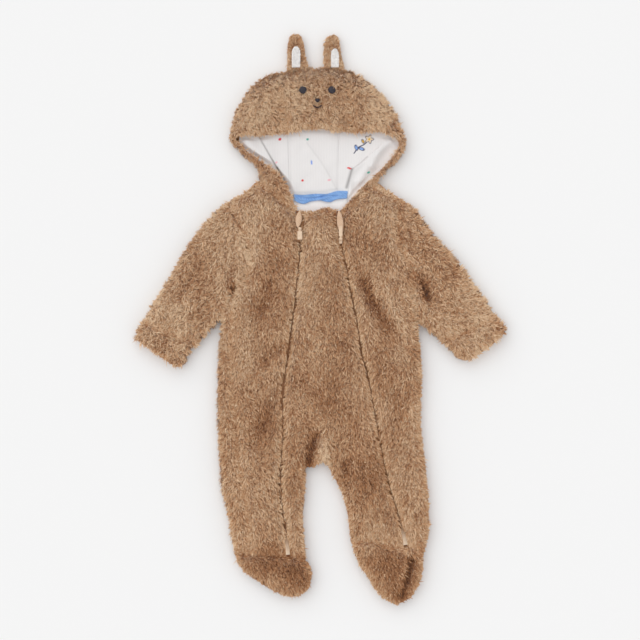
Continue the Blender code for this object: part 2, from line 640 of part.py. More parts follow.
def makeBack():
    """The back, forked at the crotch and folded round the left side to the side seam."""
    neck = np.vstack([neckBack[:4], neckBack[5:9:2], neckBack[9:]])
    top = joined(along(shoulderLeft, (0, 0.17, 0.6, 1)), neck, along(shoulderRight, (0, 0.4, 0.83, 1)))
    top[0], top[-1] = edgeLeft[0], edgeRight[0]
    low = joined(backForkLeft, along(crotch, evenly(3)), backForkRight)
    body = patch(top, low, edgeLeft[:crotchRow + 1], edgeRight[:crotchRow + 1])
    legs = [patch(backForkLeft, ankles["backLeft"], edgeLeft[crotchRow:], legLeft),
            patch(backForkRight, ankles["backRight"], legRight, edgeRight[crotchRow:])]
    fold = edgeLeft[armholeCells:]
    depth = np.minimum(foldedWall, 0.55 * span(fold, seamStrip))
    strip = patch(along([fold[0], seamStrip[0]], stripCols), ankles["strip"], fold, seamStrip)
    front = frontWall(strip, trunk, pulledIn(strip, slitInside(strip, depth)))
    slit = slitInside(np.vstack([body[armholeCells:, :4], legs[0][1:, :4]]), depth)
    slit = np.vstack([edgeLeft[:armholeCells], slit])
    under = [backWall(body, trunk, pulledIn(body, slit[:crotchRow + 1])),
             backWall(legs[0], trunk, pulledIn(legs[0], slit[crotchRow:])),
             backWall(legs[1], trunk)]
    bodyRows = crotchRow - armholeCells + 1
    folds = [foldBetween(rowsOf(front, 0, bodyRows), 0, rowsOf(under[0], armholeCells), 0),
             foldBetween(rowsOf(front, bodyRows - 1), 0, under[1], 0)]
    wall("back", [front, *under, *folds], plush())


def makeSleeve(side):
    """A folded tube, open at the armhole and the cuff, with a hem near its end."""
    left = side == "left"
    arm = armSleeveLeft if left else armSleeveRight
    crease = arm[armholeCells:]
    toHem = sleeveCells - len(crease) + 1
    under = np.r_[hemAtUnder * evenly(toHem), hemAtUnder + (1 - hemAtUnder) * np.array(hemRows)]
    lower = joined(crease, along(sleeveUnderLeft if left else sleeveUnderRight, under))
    upper = np.r_[hemAtTop * evenly(toHem + len(crease) - 1),
                  hemAtTop + (1 - hemAtTop) * np.array(hemRows)]
    upper = along(sleeveTopLeft if left else sleeveTopRight, upper)
    cuff = along(cuffLeft if left else cuffRight, armholeAt)
    grid = patch(arm[:armholeCells + 1], cuff, upper, lower, sleeveFade)
    depth = np.full(len(grid), foldedWall)
    depth[0] = seamWall
    slit = pulledIn(grid, slitInside(grid, depth), slitInside(grid[:, ::-1], depth))
    front = frontWall(grid, sleeveZones[side], slit)
    back = backWall(grid, sleeveZones[side], slit)
    folds = [foldBetween(front, 0, back, 0), foldBetween(front, -1, back, -1)]
    wall(f"sleeve_{side}", [front, back, *folds], plush())


def makeFoot(side):
    """The top of the foot, from the ankle seam to the toe, and the sole under it."""
    toe, first, last, over, under = {
        "left": (toeLeft, heelLeft, instepLeft,
                 np.vstack([ankles["strip"][:-1], ankles["frontLeft"], ankles["centreLeft"]]),
                 ankles["backLeft"]),
        "right": (toeRight, instepRight, heelRight,
                  np.vstack([ankles["centreRight"], ankles["frontRight"]]), ankles["backRight"]),
    }[side]
    for name, ankle, layer in ((f"foot_top_{side}", over, frontWall), (f"sole_{side}", under, backWall)):
        top = ankle - (0, 2 * ankleGap)
        at = shares(top)
        grid = patch(top, along(toe, at), along(first, footRows), along(last, footRows))
        wall(name, [layer(grid, trunk)], plush())


def makeHoodSide(side):
    """A side of the hood: from the opening's rim over the outline, then under to the back seam."""
    left = side == "left"
    if left:
        rim = joined(along(rimLowLeft, evenly(tipCells)), along(rimHighLeft, evenly(crownCells)))
        out = joined(along(hoodOutLeft, evenly(tipCells)), along(hoodCrownLeft, evenly(crownCells)))
        neck, neckUnder = neckHoodLeft[::-1], neckHoodUnder[:4]
        seam, underSeam = hoodSeams["left"][0], underSeams["left"][0]
    else:
        rim = joined(along(rimLowRight, evenly(tipCells)), along(rimHighRight, evenly(crownCells)))
        out = joined(along(hoodOutRight, evenly(tipCells)), along(hoodCrownRight, evenly(crownCells)))
        neck, neckUnder = neckHoodRight, neckHoodUnder[:-5:-1]
        seam, underSeam = hoodSeams["right"][1], underSeams["right"][1]
    cells = tipCells + crownCells
    longSeam = np.interp(np.arange(cells + 1), (0, 4, 7, 10, cells), np.arange(5))
    longSeam = np.stack([np.interp(longSeam, np.arange(5), underSeam[:5, axis]) for axis in (0, 1)], -1)
    shortSeam = placedOn(underSeam[:3:-1], span(underSeam[5], underSeam[4]) * np.array(underCols))
    over = patch(neck, seam, rim, out)
    under = patch(neckUnder, shortSeam, out, longSeam)
    depth = np.minimum(foldedWall, 0.55 * span(over[:, 0], over[:, -1]))
    depth[0] = seamWall
    depthUnder = np.minimum(depth, 0.55 * span(under[:, 0], under[:, -1]))
    front = frontWall(over, hood, pulledIn(over, last=alongRows(over[:, ::-1], depth)))
    back = backWall(under, hood, pulledIn(under, alongRows(under, depthUnder)))
    wall(f"hood_side_{side}", [front, back, foldBetween(front, -1, back, 0)], plush())


def makeHoodCentre():
    """The hood's middle panel: from the rim over the crown, then under to the back of the neck."""
    rim = along(rimHigh, evenly(6))
    out = along(hoodCrown, evenly(6))
    over = patch(hoodSeams["left"][1], hoodSeams["right"][0], rim, out)
    under = patch(underSeams["left"][1][::-1], underSeams["right"][0][::-1], out, neckHoodUnder[3:10])
    depth = np.full(len(over), foldedWall)
    front = frontWall(over, hood, pulledIn(over, last=alongRows(over[:, ::-1], depth)))
    back = backWall(under, hood, pulledIn(under, alongRows(under, depth)))
    wall("hood_centre", [front, back, foldBetween(front, -1, back, 0)], plush())


def opening():
    """The hood's opening as a closed line, where the lining is free to rise."""
    return np.vstack([smooth(table, 5) for table in (
        rimLowLeft, rimHighLeft, rimHigh, rimHighRight[::-1], rimLowRight[::-1], neckline[::-1])])


def liningLift(xy):
    """How far the lining's folds stand up, only in the opening and away from its rims."""
    free = np.clip((nearest(xy, hood["rims"]) - 5) / 6, 0, 1) * inside(xy, opening())
    return rises(xy, liningFolds) * free


def makeLining():
    """The hood's jersey in three panels, the yoke at the back neck, and the tape over their seam."""
    cols, rows = evenly(8), evenly(10)
    left = patch(along(flapTopLeft, cols), along(flapEndLeft, cols),
                 along(flapOutLeft, rows), along(liningSeamLeft, rows))
    centre = patch(along(liningTop, evenly(5)), along(liningBottom, evenly(5)),
                   along(liningSeamLeft, rows), along(liningSeamRight, rows))
    right = patch(along(flapTopRight, cols), along(flapEndRight, cols),
                  along(liningSeamRight, rows), along(flapOutRight, rows))
    yoke = patch(along(yokeTop, evenly(6)), along(yokeBottom, evenly(6)),
                 along(yokeSides[0], evenly(2)), along(yokeSides[1], evenly(2)))
    left[:, -1] -= (seamGap, 0)
    centre[:, 0] += (seamGap, 0)
    centre[:, -1] -= (seamGap, 0)
    right[:, 0] += (seamGap, 0)
    top = middle - layerGap / 2
    for name, grid in (("hood_lining_left", left), ("hood_lining_centre", centre),
                       ("hood_lining_right", right), ("back_neck_lining", yoke)):
        z = top + liningLift(grid)
        wall(name, [(at(grid, z), at(grid, z - liningThick))], jersey())
    tape = patch(along(tapeTop, evenly(10)), along(tapeBottom, evenly(10)),
                 along(tapeSides[0], evenly(1)), along(tapeSides[1], evenly(1)))
    z = middle + tapeThick + tapeWave * (1 + np.sin(tape[..., 0] / tapeWaveLength * 2 * np.pi))
    wall("neck_tape", [(at(tape, z), at(tape, middle + layerGap / 2))],
         material("blue_twill_tape", (0.12, 0.32, 0.72), 0.8))


def makeEar(side):
    """A flat stuffed ear, and its white insert lying on it."""
    ear = ears[side]
    cols, rows = (0, 0.12, 0.35, 0.65, 0.88, 1), (0, 0.08, 0.22, 0.45, 0.7, 1)
    grid = patch(along(ear["top"], cols), along(ear["low"], cols),
                 along(ear["left"], rows), along(ear["right"], rows))
    outline = [ear["top"], ear["left"], ear["right"]]

    def top(xy):
        low = earMiddle + earEdge
        return low + (earTop - low) * dome(nearest(xy, outline), earRound)

    low = (earMiddle - earEdge) * (1 - dome(nearest(grid, outline), earRound))
    wall(f"ear_{side}", [(at(grid, top(grid)), at(grid, low))], plush())
    (x0, x1), (y0, y1) = ear["insert"]["x"], ear["insert"]["y"]
    across = np.linspace(-1, 1, 6)
    head = y1 - (y1 - y0) * 0.16 * (1 - np.sqrt(np.clip(1 - across ** 2, 0, 1))) 
    up = evenly(5)[:, None]
    x = (x0 + x1) / 2 + across * (x1 - x0) / 2 * (1 - 0.3 * (1 - up) ** 2)
    insert = np.stack([x, y0 + (head - y0) * up], -1)
    z = top(insert) + layerGap
    wall(f"ear_insert_{side}", [(at(insert, z + insertThick), at(insert, z))],
         material("white_plush", (0.88, 0.86, 0.83), 0.95))


def makeZip(side):
    """A zip's strip in its channel, bare and raised at the ankle."""
    line = (zipLeft if side == "left" else zipRight).copy()
    line[-1] += (0, 2 * ankleGap)
    grid = np.stack([beside(line, -zipHalf), beside(line, zipHalf)], 1)
    near = np.clip(1 - (grid[..., 1] - line[-1, 1]) / zipEndLength, 0, 1)
    top = middle + zipTop + zipEndRise * near ** 0.5
    wall(f"zip_{side}", [(at(grid, top), at(grid, middle + layerGap / 2))],
         material("brown_zip", (0.2, 0.12, 0.07), 0.7))


def makeZipGuard(side):
    """A padded leaf that covers the zip's top: widest in the middle and pointed at both ends."""
    guard = zipGuards[side]
    t = np.linspace(0, 1, 9)
    line = np.array(guard["start"]) + t[:, None] * np.subtract(guard["end"], guard["start"])
    half = guard["width"] / 2 * (0.12 + 0.88 * np.sin(np.pi * t) ** 0.8)
    across = np.array([-1, -0.55, 0.55, 1])
    way = np.subtract(guard["end"], guard["start"])
    aside = np.array([-way[1], way[0]]) / np.hypot(*way)
    grid = line[:, None] + (half[:, None] * across)[..., None] * aside
    z = guardBottom + guardThick * np.where(abs(across) < 1, 1, 0.5) * np.ones((len(t), 1))
    wall(f"zip_guard_{side}", [(at(grid, z), at(grid, guardBottom))],
         material("beige_twill", (0.72, 0.56, 0.4), 0.85))


# Hard parts, from primitives joined and cut by Booleans

def block(name, size, centre, bevel=0.0):
    bpy.ops.mesh.primitive_cube_add(size=1)
    made = bpy.context.object
    made.name = name
    made.data.transform(Matrix.LocRotScale(Vector(centre) * mm, None, Vector(size) * mm))
    if bevel:
        made.modifiers.new("edges", "BEVEL").width = bevel * mm
    return made


def rod(name, radius, length, centre, sides=16):
    """A cylinder across the zip, along x."""
    bpy.ops.mesh.primitive_cylinder_add(vertices=sides, radius=radius * mm, depth=length * mm)
    made = bpy.context.object
    made.name = name
    made.data.transform(Matrix.Translation(Vector(centre) * mm) @ Matrix.Rotation(np.pi / 2, 4, "Y"))
    return made


def combine(base, other, operation):
    step = base.modifiers.new(operation.lower(), "BOOLEAN")
    step.operation = operation
    step.object = other
    other.hide_render = True
    other.display_type = "WIRE"
    other.parent = base


def makeSlider(side):
    """A zip's slider in the channel, with two lugs and a bar that carry the tab."""
    x, y = zipPulls[side]["slider"]
    hingeX, hingeY = zipPulls[side]["hinge"]
    width, length, height = sliderSize
    bottom = middle + zipTop + layerGap
    body = block(f"slider_{side}", (width, length, height), (x, y, bottom + height / 2), 0.8)
    foot = bottom + height - 1.5
    for way in (-1, 1):
        lugX = hingeX + way * (width - lugThick) / 2
        lug = block("lug", (lugThick, 2 * lugRadius - 0.5, barHeight - foot),
                    (lugX, hingeY, (barHeight + foot) / 2))
        combine(body, lug, "UNION")
        combine(body, rod("lug_boss", lugRadius, lugThick + 0.2, (lugX, hingeY, barHeight)), "UNION")
    combine(body, rod("bar", barRadius, width - lugThick, (hingeX, hingeY, barHeight), 12), "UNION")
    body.data.materials.append(hardPlastic())


def makeTab(side):
    """A pull tab: a plate with an eye that turns on the slider's bar. Its origin is on the bar."""
    pull = zipPulls[side]
    hingeX, hingeY = pull["hinge"]
    way, length, width = pull["way"], pull["length"], pull["width"]
    plate = block(f"pull_tab_{side}", (width, length - neckLength, tabThick),
                  (0, way * (length + neckLength) / 2, 0), 0.5)
    neck = block("neck", (eyeWidth - 0.4, neckLength, tabThick - 0.3),
                 (0, way * (neckLength / 2 + 0.8), 0))
    combine(plate, neck, "UNION")
    combine(plate, rod("eye", eyeRadius, eyeWidth, (0, 0, 0)), "UNION")
    combine(plate, rod("eye_hole", eyeHole, 2 * eyeWidth, (0, 0, 0)), "DIFFERENCE")
    plate.location = Vector((hingeX, hingeY, barHeight)) * mm
    plate.data.materials.append(hardPlastic())


def main():
    for thing in list(bpy.data.objects):
        bpy.data.objects.remove(thing)
    makeFrontLeft()
    makeFrontCentre()
    makeFrontRight()
    makeBack()
    makeHoodCentre()
    makeLining()
    for side in ("left", "right"):
        makeSleeve(side)
        makeFoot(side)
        makeHoodSide(side)
        makeEar(side)
        makeZip(side)
        makeZipGuard(side)
        makeSlider(side)
        makeTab(side)


main()
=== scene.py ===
# A baby's hooded plush pramsuit, laid out flat and seen from above
import bpy
import numpy as np
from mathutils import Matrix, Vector


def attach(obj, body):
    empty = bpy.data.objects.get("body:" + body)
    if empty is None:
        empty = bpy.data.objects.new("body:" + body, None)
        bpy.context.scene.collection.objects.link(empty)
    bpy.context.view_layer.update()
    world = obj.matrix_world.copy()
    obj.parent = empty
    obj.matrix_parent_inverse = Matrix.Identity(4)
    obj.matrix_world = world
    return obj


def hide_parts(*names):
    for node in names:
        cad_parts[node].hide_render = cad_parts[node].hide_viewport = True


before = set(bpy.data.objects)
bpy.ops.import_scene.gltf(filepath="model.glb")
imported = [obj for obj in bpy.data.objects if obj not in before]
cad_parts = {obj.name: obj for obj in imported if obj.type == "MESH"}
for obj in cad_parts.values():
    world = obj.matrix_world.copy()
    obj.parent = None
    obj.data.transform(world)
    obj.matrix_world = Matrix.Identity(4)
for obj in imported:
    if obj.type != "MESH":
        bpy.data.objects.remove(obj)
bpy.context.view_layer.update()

# Tables of sizes are in millimetres seen from above, x to the right and y towards the hood. Meshes are in
# metres. "Left" and "right" are the viewer's.
mm = 0.001

# Thicknesses and heights, in millimetres above the surface
middle = 9.0            # where the front layer meets the back layer
plushTop = 21.5         # the tips of the front layer's pile
noseHalf = 2.4          # half the blunt edge where a layer folds or meets the one below
foldedWall = 9.0        # from an outline's fold to the slit inside it
seamWall = 1.5          # the same where the fold ends at a seam
pullReach = 36.0        # how far in from a fold the inner side's points are moved
layerGap = 0.3          # between two pieces that lie on each other
seamGap = 0.2           # from a seam's line to the cloth on each side of it
ankleGap = 0.4
liningThick = 2.0
tapeThick = 1.4
tapeWave = 0.8          # half the height of the tape's ripples
tapeWaveLength = 21.0
roundTop = 17.0         # how far from an outline the front layer rounds off
roundUnder = 8.0        # the same for the back layer, below the outline
roundRim = 9.0          # the same at the hood's opening and at the cuffs
rimShare = 0.42         # how much of the front layer's height a rim keeps

# Zips
zipChannel = 3.0        # from a zip's middle line to the cloth beside it
zipHalf = 2.6
zipTop = 4.2            # above the middle
zipEndRise = 4.0        # how much the bare ends at the ankles stand up
zipEndLength = 24.0

# Cells: how a panel's rows and columns are spaced, closer beside seams and rounded edges
armholeAt = (0, 0.06, 0.2, 0.4, 0.6, 0.8, 0.94, 1)
armholeCells = len(armholeAt) - 1
footRows = (0, 0.1, 0.3, 0.54, 0.76, 0.92, 1)
sideCols = (0, 0.06, 0.17, 0.36, 0.6, 0.8, 0.93, 1)
freeCols = (0, 0.07, 0.2, 0.42, 0.64, 0.82, 0.94, 1)
stripCols = (0, 0.35, 0.7, 1)
rimCols = (0, 0.16, 0.4, 0.68, 1)
underCols = (0, 0.14, 0.5, 1)
crownSeamAt = (0, 0.26, 0.52, 0.78, 0.95, 1)   # the hood's seams underneath, from neck to crown
hemAtTop = 0.87         # the hem's place along the sleeve's two edges
hemAtUnder = 0.56
hemRows = (0.25, 0.5, 0.74, 0.9, 1)   # from the hem to the cuff's end
sleeveCells = 8         # from the armhole to the hem
sleeveFade = 8          # how fast the armhole's bend fades along the sleeve

# Outlines and seams: columns x, y
shoulderLeft = [(-122, 160), (-109, 168), (-90, 177), (-82, 186.5)]
shoulderRight = [(76, 183.5), (81, 178), (95.5, 171), (108.5, 162)]
armholeLeft = [(-122, 160), (-114, 139), (-104, 121), (-96.5, 104), (-93.5, 85), (-95, 69),
               (-101, 56)]
armholeRight = [(108.5, 162), (106, 136), (106, 110), (112.5, 90), (122, 75), (126.5, 56),
                (125, 37.5)]
creaseLeft = [(-101, 56), (-117, 41), (-124.5, 24), (-133, 1)]
creaseRight = [(125, 37.5), (127, 15), (131.5, -4)]
sideLeft = [(-133, 1), (-137, -28), (-138.5, -54), (-140, -112), (-139, -156), (-136, -201),
            (-133.5, -235), (-127, -262), (-120, -297), (-116, -315)]
sideRight = [(131.5, -4), (134, -28), (137, -54), (138, -81), (136.5, -112), (137.5, -156),
             (142, -190), (145, -224), (147.5, -257), (147.5, -288), (144, -306), (141, -315)]
sideSeamLeft = [(-99.5, 56), (-115, 41), (-117.5, 20), (-118, 0), (-120, -54), (-118, -110),
                (-114, -140), (-113, -168), (-110, -195), (-97, -273), (-96, -290), (-99, -316)]
legInnerLeft = [(-19, -201), (-20.5, -235), (-23, -268), (-20.5, -302), (-19.5, -322)]
legInnerRight = [(10, -199), (16, -211), (23, -221), (29, -236), (36.5, -262), (40, -290),
                 (42, -301)]
crotch = [(-19, -201), (-7, -200), (-1, -194.5), (5, -194.5), (10, -199)]
ankleLeft = [(-116, -315), (-99, -316), (-70, -317), (-40, -319), (-19.5, -322)]
ankleRight = [(42, -301), (58, -298.5), (72, -297), (86, -305), (104, -306), (124, -306),
              (141, -315)]
heelLeft = [(-116, -315), (-113, -325), (-104.5, -342)]
toeLeft = [(-104.5, -342), (-89, -351.5), (-73, -362), (-55, -372), (-38, -375.5), (-25, -373),
           (-15, -364)]
instepLeft = [(-19.5, -322), (-19, -328), (-13.5, -334), (-10.5, -345), (-15, -364)]
instepRight = [(42, -301), (45, -314), (52, -331), (63.5, -349)]
toeRight = [(63.5, -349), (75, -367), (88, -380), (101.5, -386), (115, -381.5), (126, -372),
            (134, -360)]
heelRight = [(141, -315), (139.5, -324), (138.5, -345), (134, -360)]
zipLineLeft = [(-30, 146), (-26.5, 106), (-31.5, 50), (-35, 15), (-40, -19), (-45.5, -62),
               (-50.5, -100), (-50, -156), (-53, -201), (-52, -246), (-46.5, -280), (-43, -322)]
zipLineRight = [(25, 146), (27, 108), (36, 70), (43, 29), (51, -11), (56, -45), (65, -80),
                (72, -116), (79, -156), (88, -201), (95, -230), (103.5, -257), (112.5, -290),
                (116, -310)]
neckSeamLeft = [(-82, 186.5), (-60, 168), (-33, 146)]
neckSeamRight = [(28, 146), (50, 161), (76, 183.5)]
neckline = [(-27, 146), (-12, 146.5), (2, 150), (12, 151), (22, 146)]
backNeck = [(-82, 186.5), (-62, 174), (-41, 166), (-9, 163), (24, 164), (50, 172), (76, 183.5)]

# Sleeves
sleeveTopLeft = [(-122, 160), (-133, 155), (-147, 139), (-161, 124), (-175, 106), (-194, 75),
                 (-211, 45), (-223, 29), (-231.5, 13), (-238.5, 0), (-246.5, -10), (-252, -27)]
sleeveTopRight = [(108.5, 162), (117, 162), (127, 151), (136, 139), (155, 113), (173, 94),
                  (184, 79), (196, 67), (216, 36), (227, 24), (236, 6), (243.5, 0), (251.5, -13),
                  (251, -20)]
sleeveUnderLeft = [(-133, 1), (-147, -14), (-161, -30), (-176, -46), (-180, -57)]
sleeveUnderRight = [(131.5, -4), (145.5, -17), (161, -30), (176, -44), (184, -53.5)]
cuffLeft = [(-252, -27), (-238, -36), (-223, -46), (-209, -56), (-196, -65), (-186, -64),
            (-180, -57)]
cuffRight = [(251, -20), (243, -26), (236, -33), (227.5, -39.5), (216, -45), (210, -53),
             (200, -56.5), (184, -53.5)]
hemLeft = [(-238.5, 0), (-207, -19), (-161, -30)]
hemRight = [(237, 5), (208, -10), (180, -24), (161, -30)]

# Hood
hoodOutLeft = [(-82, 186.5), (-89, 209), (-101, 216), (-110, 226.5), (-118.5, 236.5),
               (-122.5, 245.5)]
hoodCrownLeft = [(-122.5, 245.5), (-119.5, 262), (-116.5, 276.5), (-110, 290), (-101, 304),
                 (-89, 319), (-72, 329.5), (-53, 335)]
hoodCrown = [(-53, 335), (-30, 339), (-13, 340.5), (-3, 340), (5, 341), (22, 340), (38.5, 336.5)]
hoodCrownRight = [(116.5, 241.5), (110.5, 259), (105.5, 272.5), (98.5, 284.5), (90, 297),
                  (79.5, 309), (66, 321), (54, 329.5), (38.5, 336.5)]
hoodOutRight = [(76, 183.5), (84, 193), (92, 202), (105.5, 214.5), (115.5, 231.5),
                (116.5, 241.5)]
rimLowLeft = [(-33, 146), (-37.5, 155.5), (-39.5, 169), (-44.5, 181.5), (-53.5, 192),
              (-63.5, 202), (-74, 210.5), (-86, 217.5), (-99.5, 226), (-108, 234.5),
              (-112.5, 243)]
rimHighLeft = [(-112.5, 243), (-104.5, 246.5), (-84, 246), (-67, 248.5), (-46.5, 250.5)]
rimHigh = [(-46.5, 250.5), (-29, 253), (-15, 255.5), (2, 255), (19.5, 252.5), (42.5, 252.5)]
rimHighRight = [(107, 235.5), (100, 245), (88, 248.5), (71, 252), (54, 251), (42.5, 252.5)]
rimLowRight = [(28, 146), (35, 155.5), (43.5, 164.5), (54, 176), (71, 191.5), (86.5, 205.5),
               (97, 217.5), (107, 235.5)]
hoodSeamLeft = [(-46.5, 250.5), (-48, 287), (-53, 302), (-56, 320), (-53, 335)]
hoodSeamRight = [(42.5, 252.5), (41, 282), (40, 302), (38, 322), (38.5, 336.5)]
underSeamLeft = [(-41, 166), (-44, 220), (-48, 280), (-53, 326), (-53, 335)]
underSeamRight = [(24, 164), (27, 220), (32, 280), (38, 327), (38.5, 336.5)]

# Hood lining, tape and yoke
liningSeamLeft = [(-44, 260), (-43, 220), (-40, 166.5)]
liningSeamRight = [(26, 262), (25, 220), (24, 165)]
liningTop = [(-44, 260), (-10, 264), (26, 262)]
liningBottom = [(-40, 166.5), (-9, 163.8), (24, 165)]
flapTopLeft = [(-109, 248.5), (-97, 252), (-84, 254), (-64, 257), (-44, 260)]
flapOutLeft = [(-109, 248.5), (-110, 241), (-106.5, 234), (-99, 226), (-86.5, 216), (-76, 207.5),
               (-67, 198), (-58, 188.5), (-50, 178)]
flapEndLeft = [(-50, 178), (-40, 166.5)]
flapTopRight = [(26, 262), (52, 259), (76, 257), (94, 252), (103, 245)]
flapOutRight = [(103, 245), (107.5, 238), (106, 231), (97, 217), (86, 204.5), (72, 190),
                (60, 180), (50, 174)]
flapEndRight = [(24, 165), (38, 168.8), (50, 174)]
tapeTop = [(-36, 168.5), (-25.5, 167.5), (-5, 169), (11, 169), (19, 172), (38, 173)]
tapeBottom = [(-34.5, 160), (-23, 155), (-15, 158), (2, 160), (12.5, 157.5), (22.5, 161.5),
              (36, 162.5)]
tapeSides = ([(-36, 168.5), (-34.5, 160)], [(38, 173), (36, 162.5)])
yokeTop = [(-46, 168), (-41, 165), (-9, 162), (24, 163), (49, 170.5)]
yokeBottom = [(-40, 137), (-9, 136), (34, 137)]
yokeSides = ([(-46, 168), (-40, 137)], [(49, 170.5), (34, 137)])

# Ears
ears = dict(
    left=dict(
        low=[(-45.5, 340.5), (-30, 341.6), (-14, 342.5)],
        left=[(-42, 381), (-44.5, 371), (-44.5, 354), (-45.5, 340.5)],
        top=[(-42, 381), (-38, 384.5), (-32, 385.7), (-25.5, 382.5)],
        right=[(-25.5, 382.5), (-22.5, 375), (-20.5, 362), (-17, 347), (-14, 342.5)],
        insert=dict(x=(-38.5, -26.5), y=(345, 367.5)),
    ),
    right=dict(
        low=[(5, 342.8), (20, 342.4), (34, 339.8)],
        left=[(9, 380), (5.5, 374), (4.7, 362), (5, 342.8)],
        top=[(9, 380), (13, 383.5), (18, 385), (24.5, 381)],
        right=[(24.5, 381), (27, 371), (28.5, 359), (31.5, 347), (34, 339.8)],
        insert=dict(x=(14.5, 25.5), y=(345, 364.5)),
    ),
)
earTop = 12.0
earMiddle = 6.5
earEdge = 1.5
earRound = 8.0
insertThick = 2.2

# Folds: x0, y0, x1, y1, rise (a trough is below 0), width
folds = [
    (-60, 77, -79, 15, -3.2, 10),
    (-79, 15, -88, -15, -2.6, 10),
    (-52, -35, -79, -62, -3.0, 10),
    (-52, -89, -88, -164, -3.0, 12),
    (43, 77, 74, 20, -3.6, 10),
    (74, 20, 98, -26, -3.0, 11),
    (58, 82, 112, -8, 2.4, 10),
    (107, -108, 107, -166, -2.4, 13),
    (-131, 82, -131, 50, 2.6, 10),
    (103, 94, 134, 66, 2.4, 8),
    (134, 55, 151, 26, -3.2, 8),
    (180, 10, 196, -12, -2.6, 12),
    (-203, 0, -204, -28, -2.6, 12),
    (-160, 70, -190, 40, -2.0, 12),
    (-7, -155, -16, -199, -4.6, 8),
    (2, -168, 5, -188, 2.8, 10),
    (32, -191, 35, -222, -2.4, 7),
    (123, -325, 110, -374, -4.5, 7),
    (113, -335, 110, -362, 2.0, 7),
    (-10, 120, 0, -60, 2.0, 24),
    (-95, -200, -80, -290, 1.8, 22),
    (110, -215, 125, -280, 1.8, 20),
    (-80, 275, -60, 312, 2.0, 20),
    (80, 275, 62, 310, 2.0, 20),
    (-29, 146, -27, 108, -1.6, 9),
    (26, 146, 28, 100, -1.8, 9),
]
# The lining's, inside the hood: the same columns
liningFolds = [
    (-98, 238, -72, 214, 4.0, 8),
    (66, 206, 52, 186, 3.6, 6),
    (88, 238, 70, 214, 2.5, 8),
    (-20, 240, 18, 176, 0.9, 6),
]

# Padded leaves over the zips' tops, which stand on the pile
zipGuards = dict(
    left=dict(start=(-27.6, 145.0), end=(-30.0, 122.8), width=8.6),
    right=dict(start=(25.4, 146.0), end=(28.6, 113.4), width=8.6),
)
guardBottom = 19.2
guardThick = 1.8


# Cubics between neighbouring rows of p with these slopes, at t from 0 to 1 along stretches of this length:
# (1 + 2t)(1 - t)^2 and t^2(3 - 2t) of the two ends, and t(1 - t)^2 and -t^2(1 - t) of their slopes
def cubics(p, slope, t, length=1):
    return ((1 + 2 * t) * (1 - t) ** 2 * p[:-1, None] + t * (1 - t) ** 2 * length * slope[:-1, None]
            + t * t * (3 - 2 * t) * p[1:, None] - t * t * (1 - t) * length * slope[1:, None])


# A curve through the points: each span is a cubic whose end slopes follow its neighbours.
def smooth(points, steps=12):
    p = np.asarray(points, float)
    t = np.r_[0, np.cumsum(np.hypot(*np.diff(p, axis=0).T))]
    slope = np.gradient(p, t, axis=0)
    s = np.linspace(0, 1, steps, endpoint=False)[None, :, None]
    return np.vstack([cubics(p, slope, s, np.diff(t)[:, None, None]).reshape(-1, 2), p[-1]])


# How far along a line of points each one is, from 0 to 1.
def shares(line):
    run = np.r_[0, np.cumsum(np.hypot(*np.diff(line, axis=0).T))]
    return run / run[-1]


# Points of the smooth curve at these shares of its length.
def along(points, at):
    fine = smooth(points)
    run = shares(fine)
    return np.column_stack([np.interp(at, run, fine[:, 0]), np.interp(at, run, fine[:, 1])])


# Shares for this many equal cells.
def evenly(count):
    return np.linspace(0, 1, count + 1)


# Points of the smooth curve where it crosses these levels of y, which falls along it.
def atLevels(points, levels):
    fine = smooth(points)
    return np.column_stack([np.interp(-levels, -fine[:, 1], fine[:, 0]), levels])


# Points of a curve that runs left to right, at these shares of the way from x0 to x1.
def crossing(points, x0, x1, at):
    fine = smooth(points)
    x = x0 + (x1 - x0) * np.asarray(at)
    return np.column_stack([x, np.interp(x, fine[:, 0], fine[:, 1])])


# One line from several, each starting where the last one ends.
def joined(*lines):
    return np.vstack([lines[0], *[line[1:] for line in lines[1:]]])


# The line moved sideways, to the left of someone who walks along it.
def beside(line, distance):
    way = np.gradient(line, axis=0)
    way /= np.linalg.norm(way, axis=1)[:, None]
    return line + np.multiply.outer(distance, [1, 1]) * np.column_stack([-way[:, 1], way[:, 0]])


# A grid of points that blends four edge lines: left to right, and top to bottom. The first two give the
# corners. With a higher fade, their bends reach less far into the grid.
def patch(top, bottom, left, right, fade=1):
    left = np.vstack([top[:1], left[1:-1], bottom[:1]])
    right = np.vstack([top[-1:], right[1:-1], bottom[-1:]])
    u = ((shares(top) + shares(bottom)) / 2)[None, :, None]
    v = ((shares(left) + shares(right)) / 2)[:, None, None]
    ruled = (1 - u) * left[:, None] + u * right[:, None]
    bendTop = top - (1 - u) * top[0] - u * top[-1]
    bendBottom = bottom - (1 - u) * bottom[0] - u * bottom[-1]
    return ruled + (1 - v) ** fade * bendTop + v ** fade * bendBottom


# The distance from each point of one line to the same point of another.
def span(a, b):
    return np.linalg.norm(np.asarray(b) - a, axis=-1)


# The points this far along a line of points.
def placedOn(line, distance):
    run = np.r_[0, np.cumsum(span(line[:-1], line[1:]))]
    return np.stack([np.interp(distance, run, line[:, axis]) for axis in (0, 1)], -1)


# The line this far inside the first column of a grid, along each of its rows.
def alongRows(rows, depth):
    return np.array([placedOn(row, distance) for row, distance in zip(rows, depth)])


# The line this far inside the first column of a grid: straight in, and along the grid's own rows at its two
# ends.
def slitInside(rows, depth):
    edge = rows[:, 0]
    line = beside(edge, depth)
    other = beside(edge, -depth)
    if (span(other, rows[:, 1]) - span(line, rows[:, 1])).sum() < 0:
        line = other
    line[[0, -1]] = alongRows(rows[[0, -1]], depth[[0, -1]])
    return line


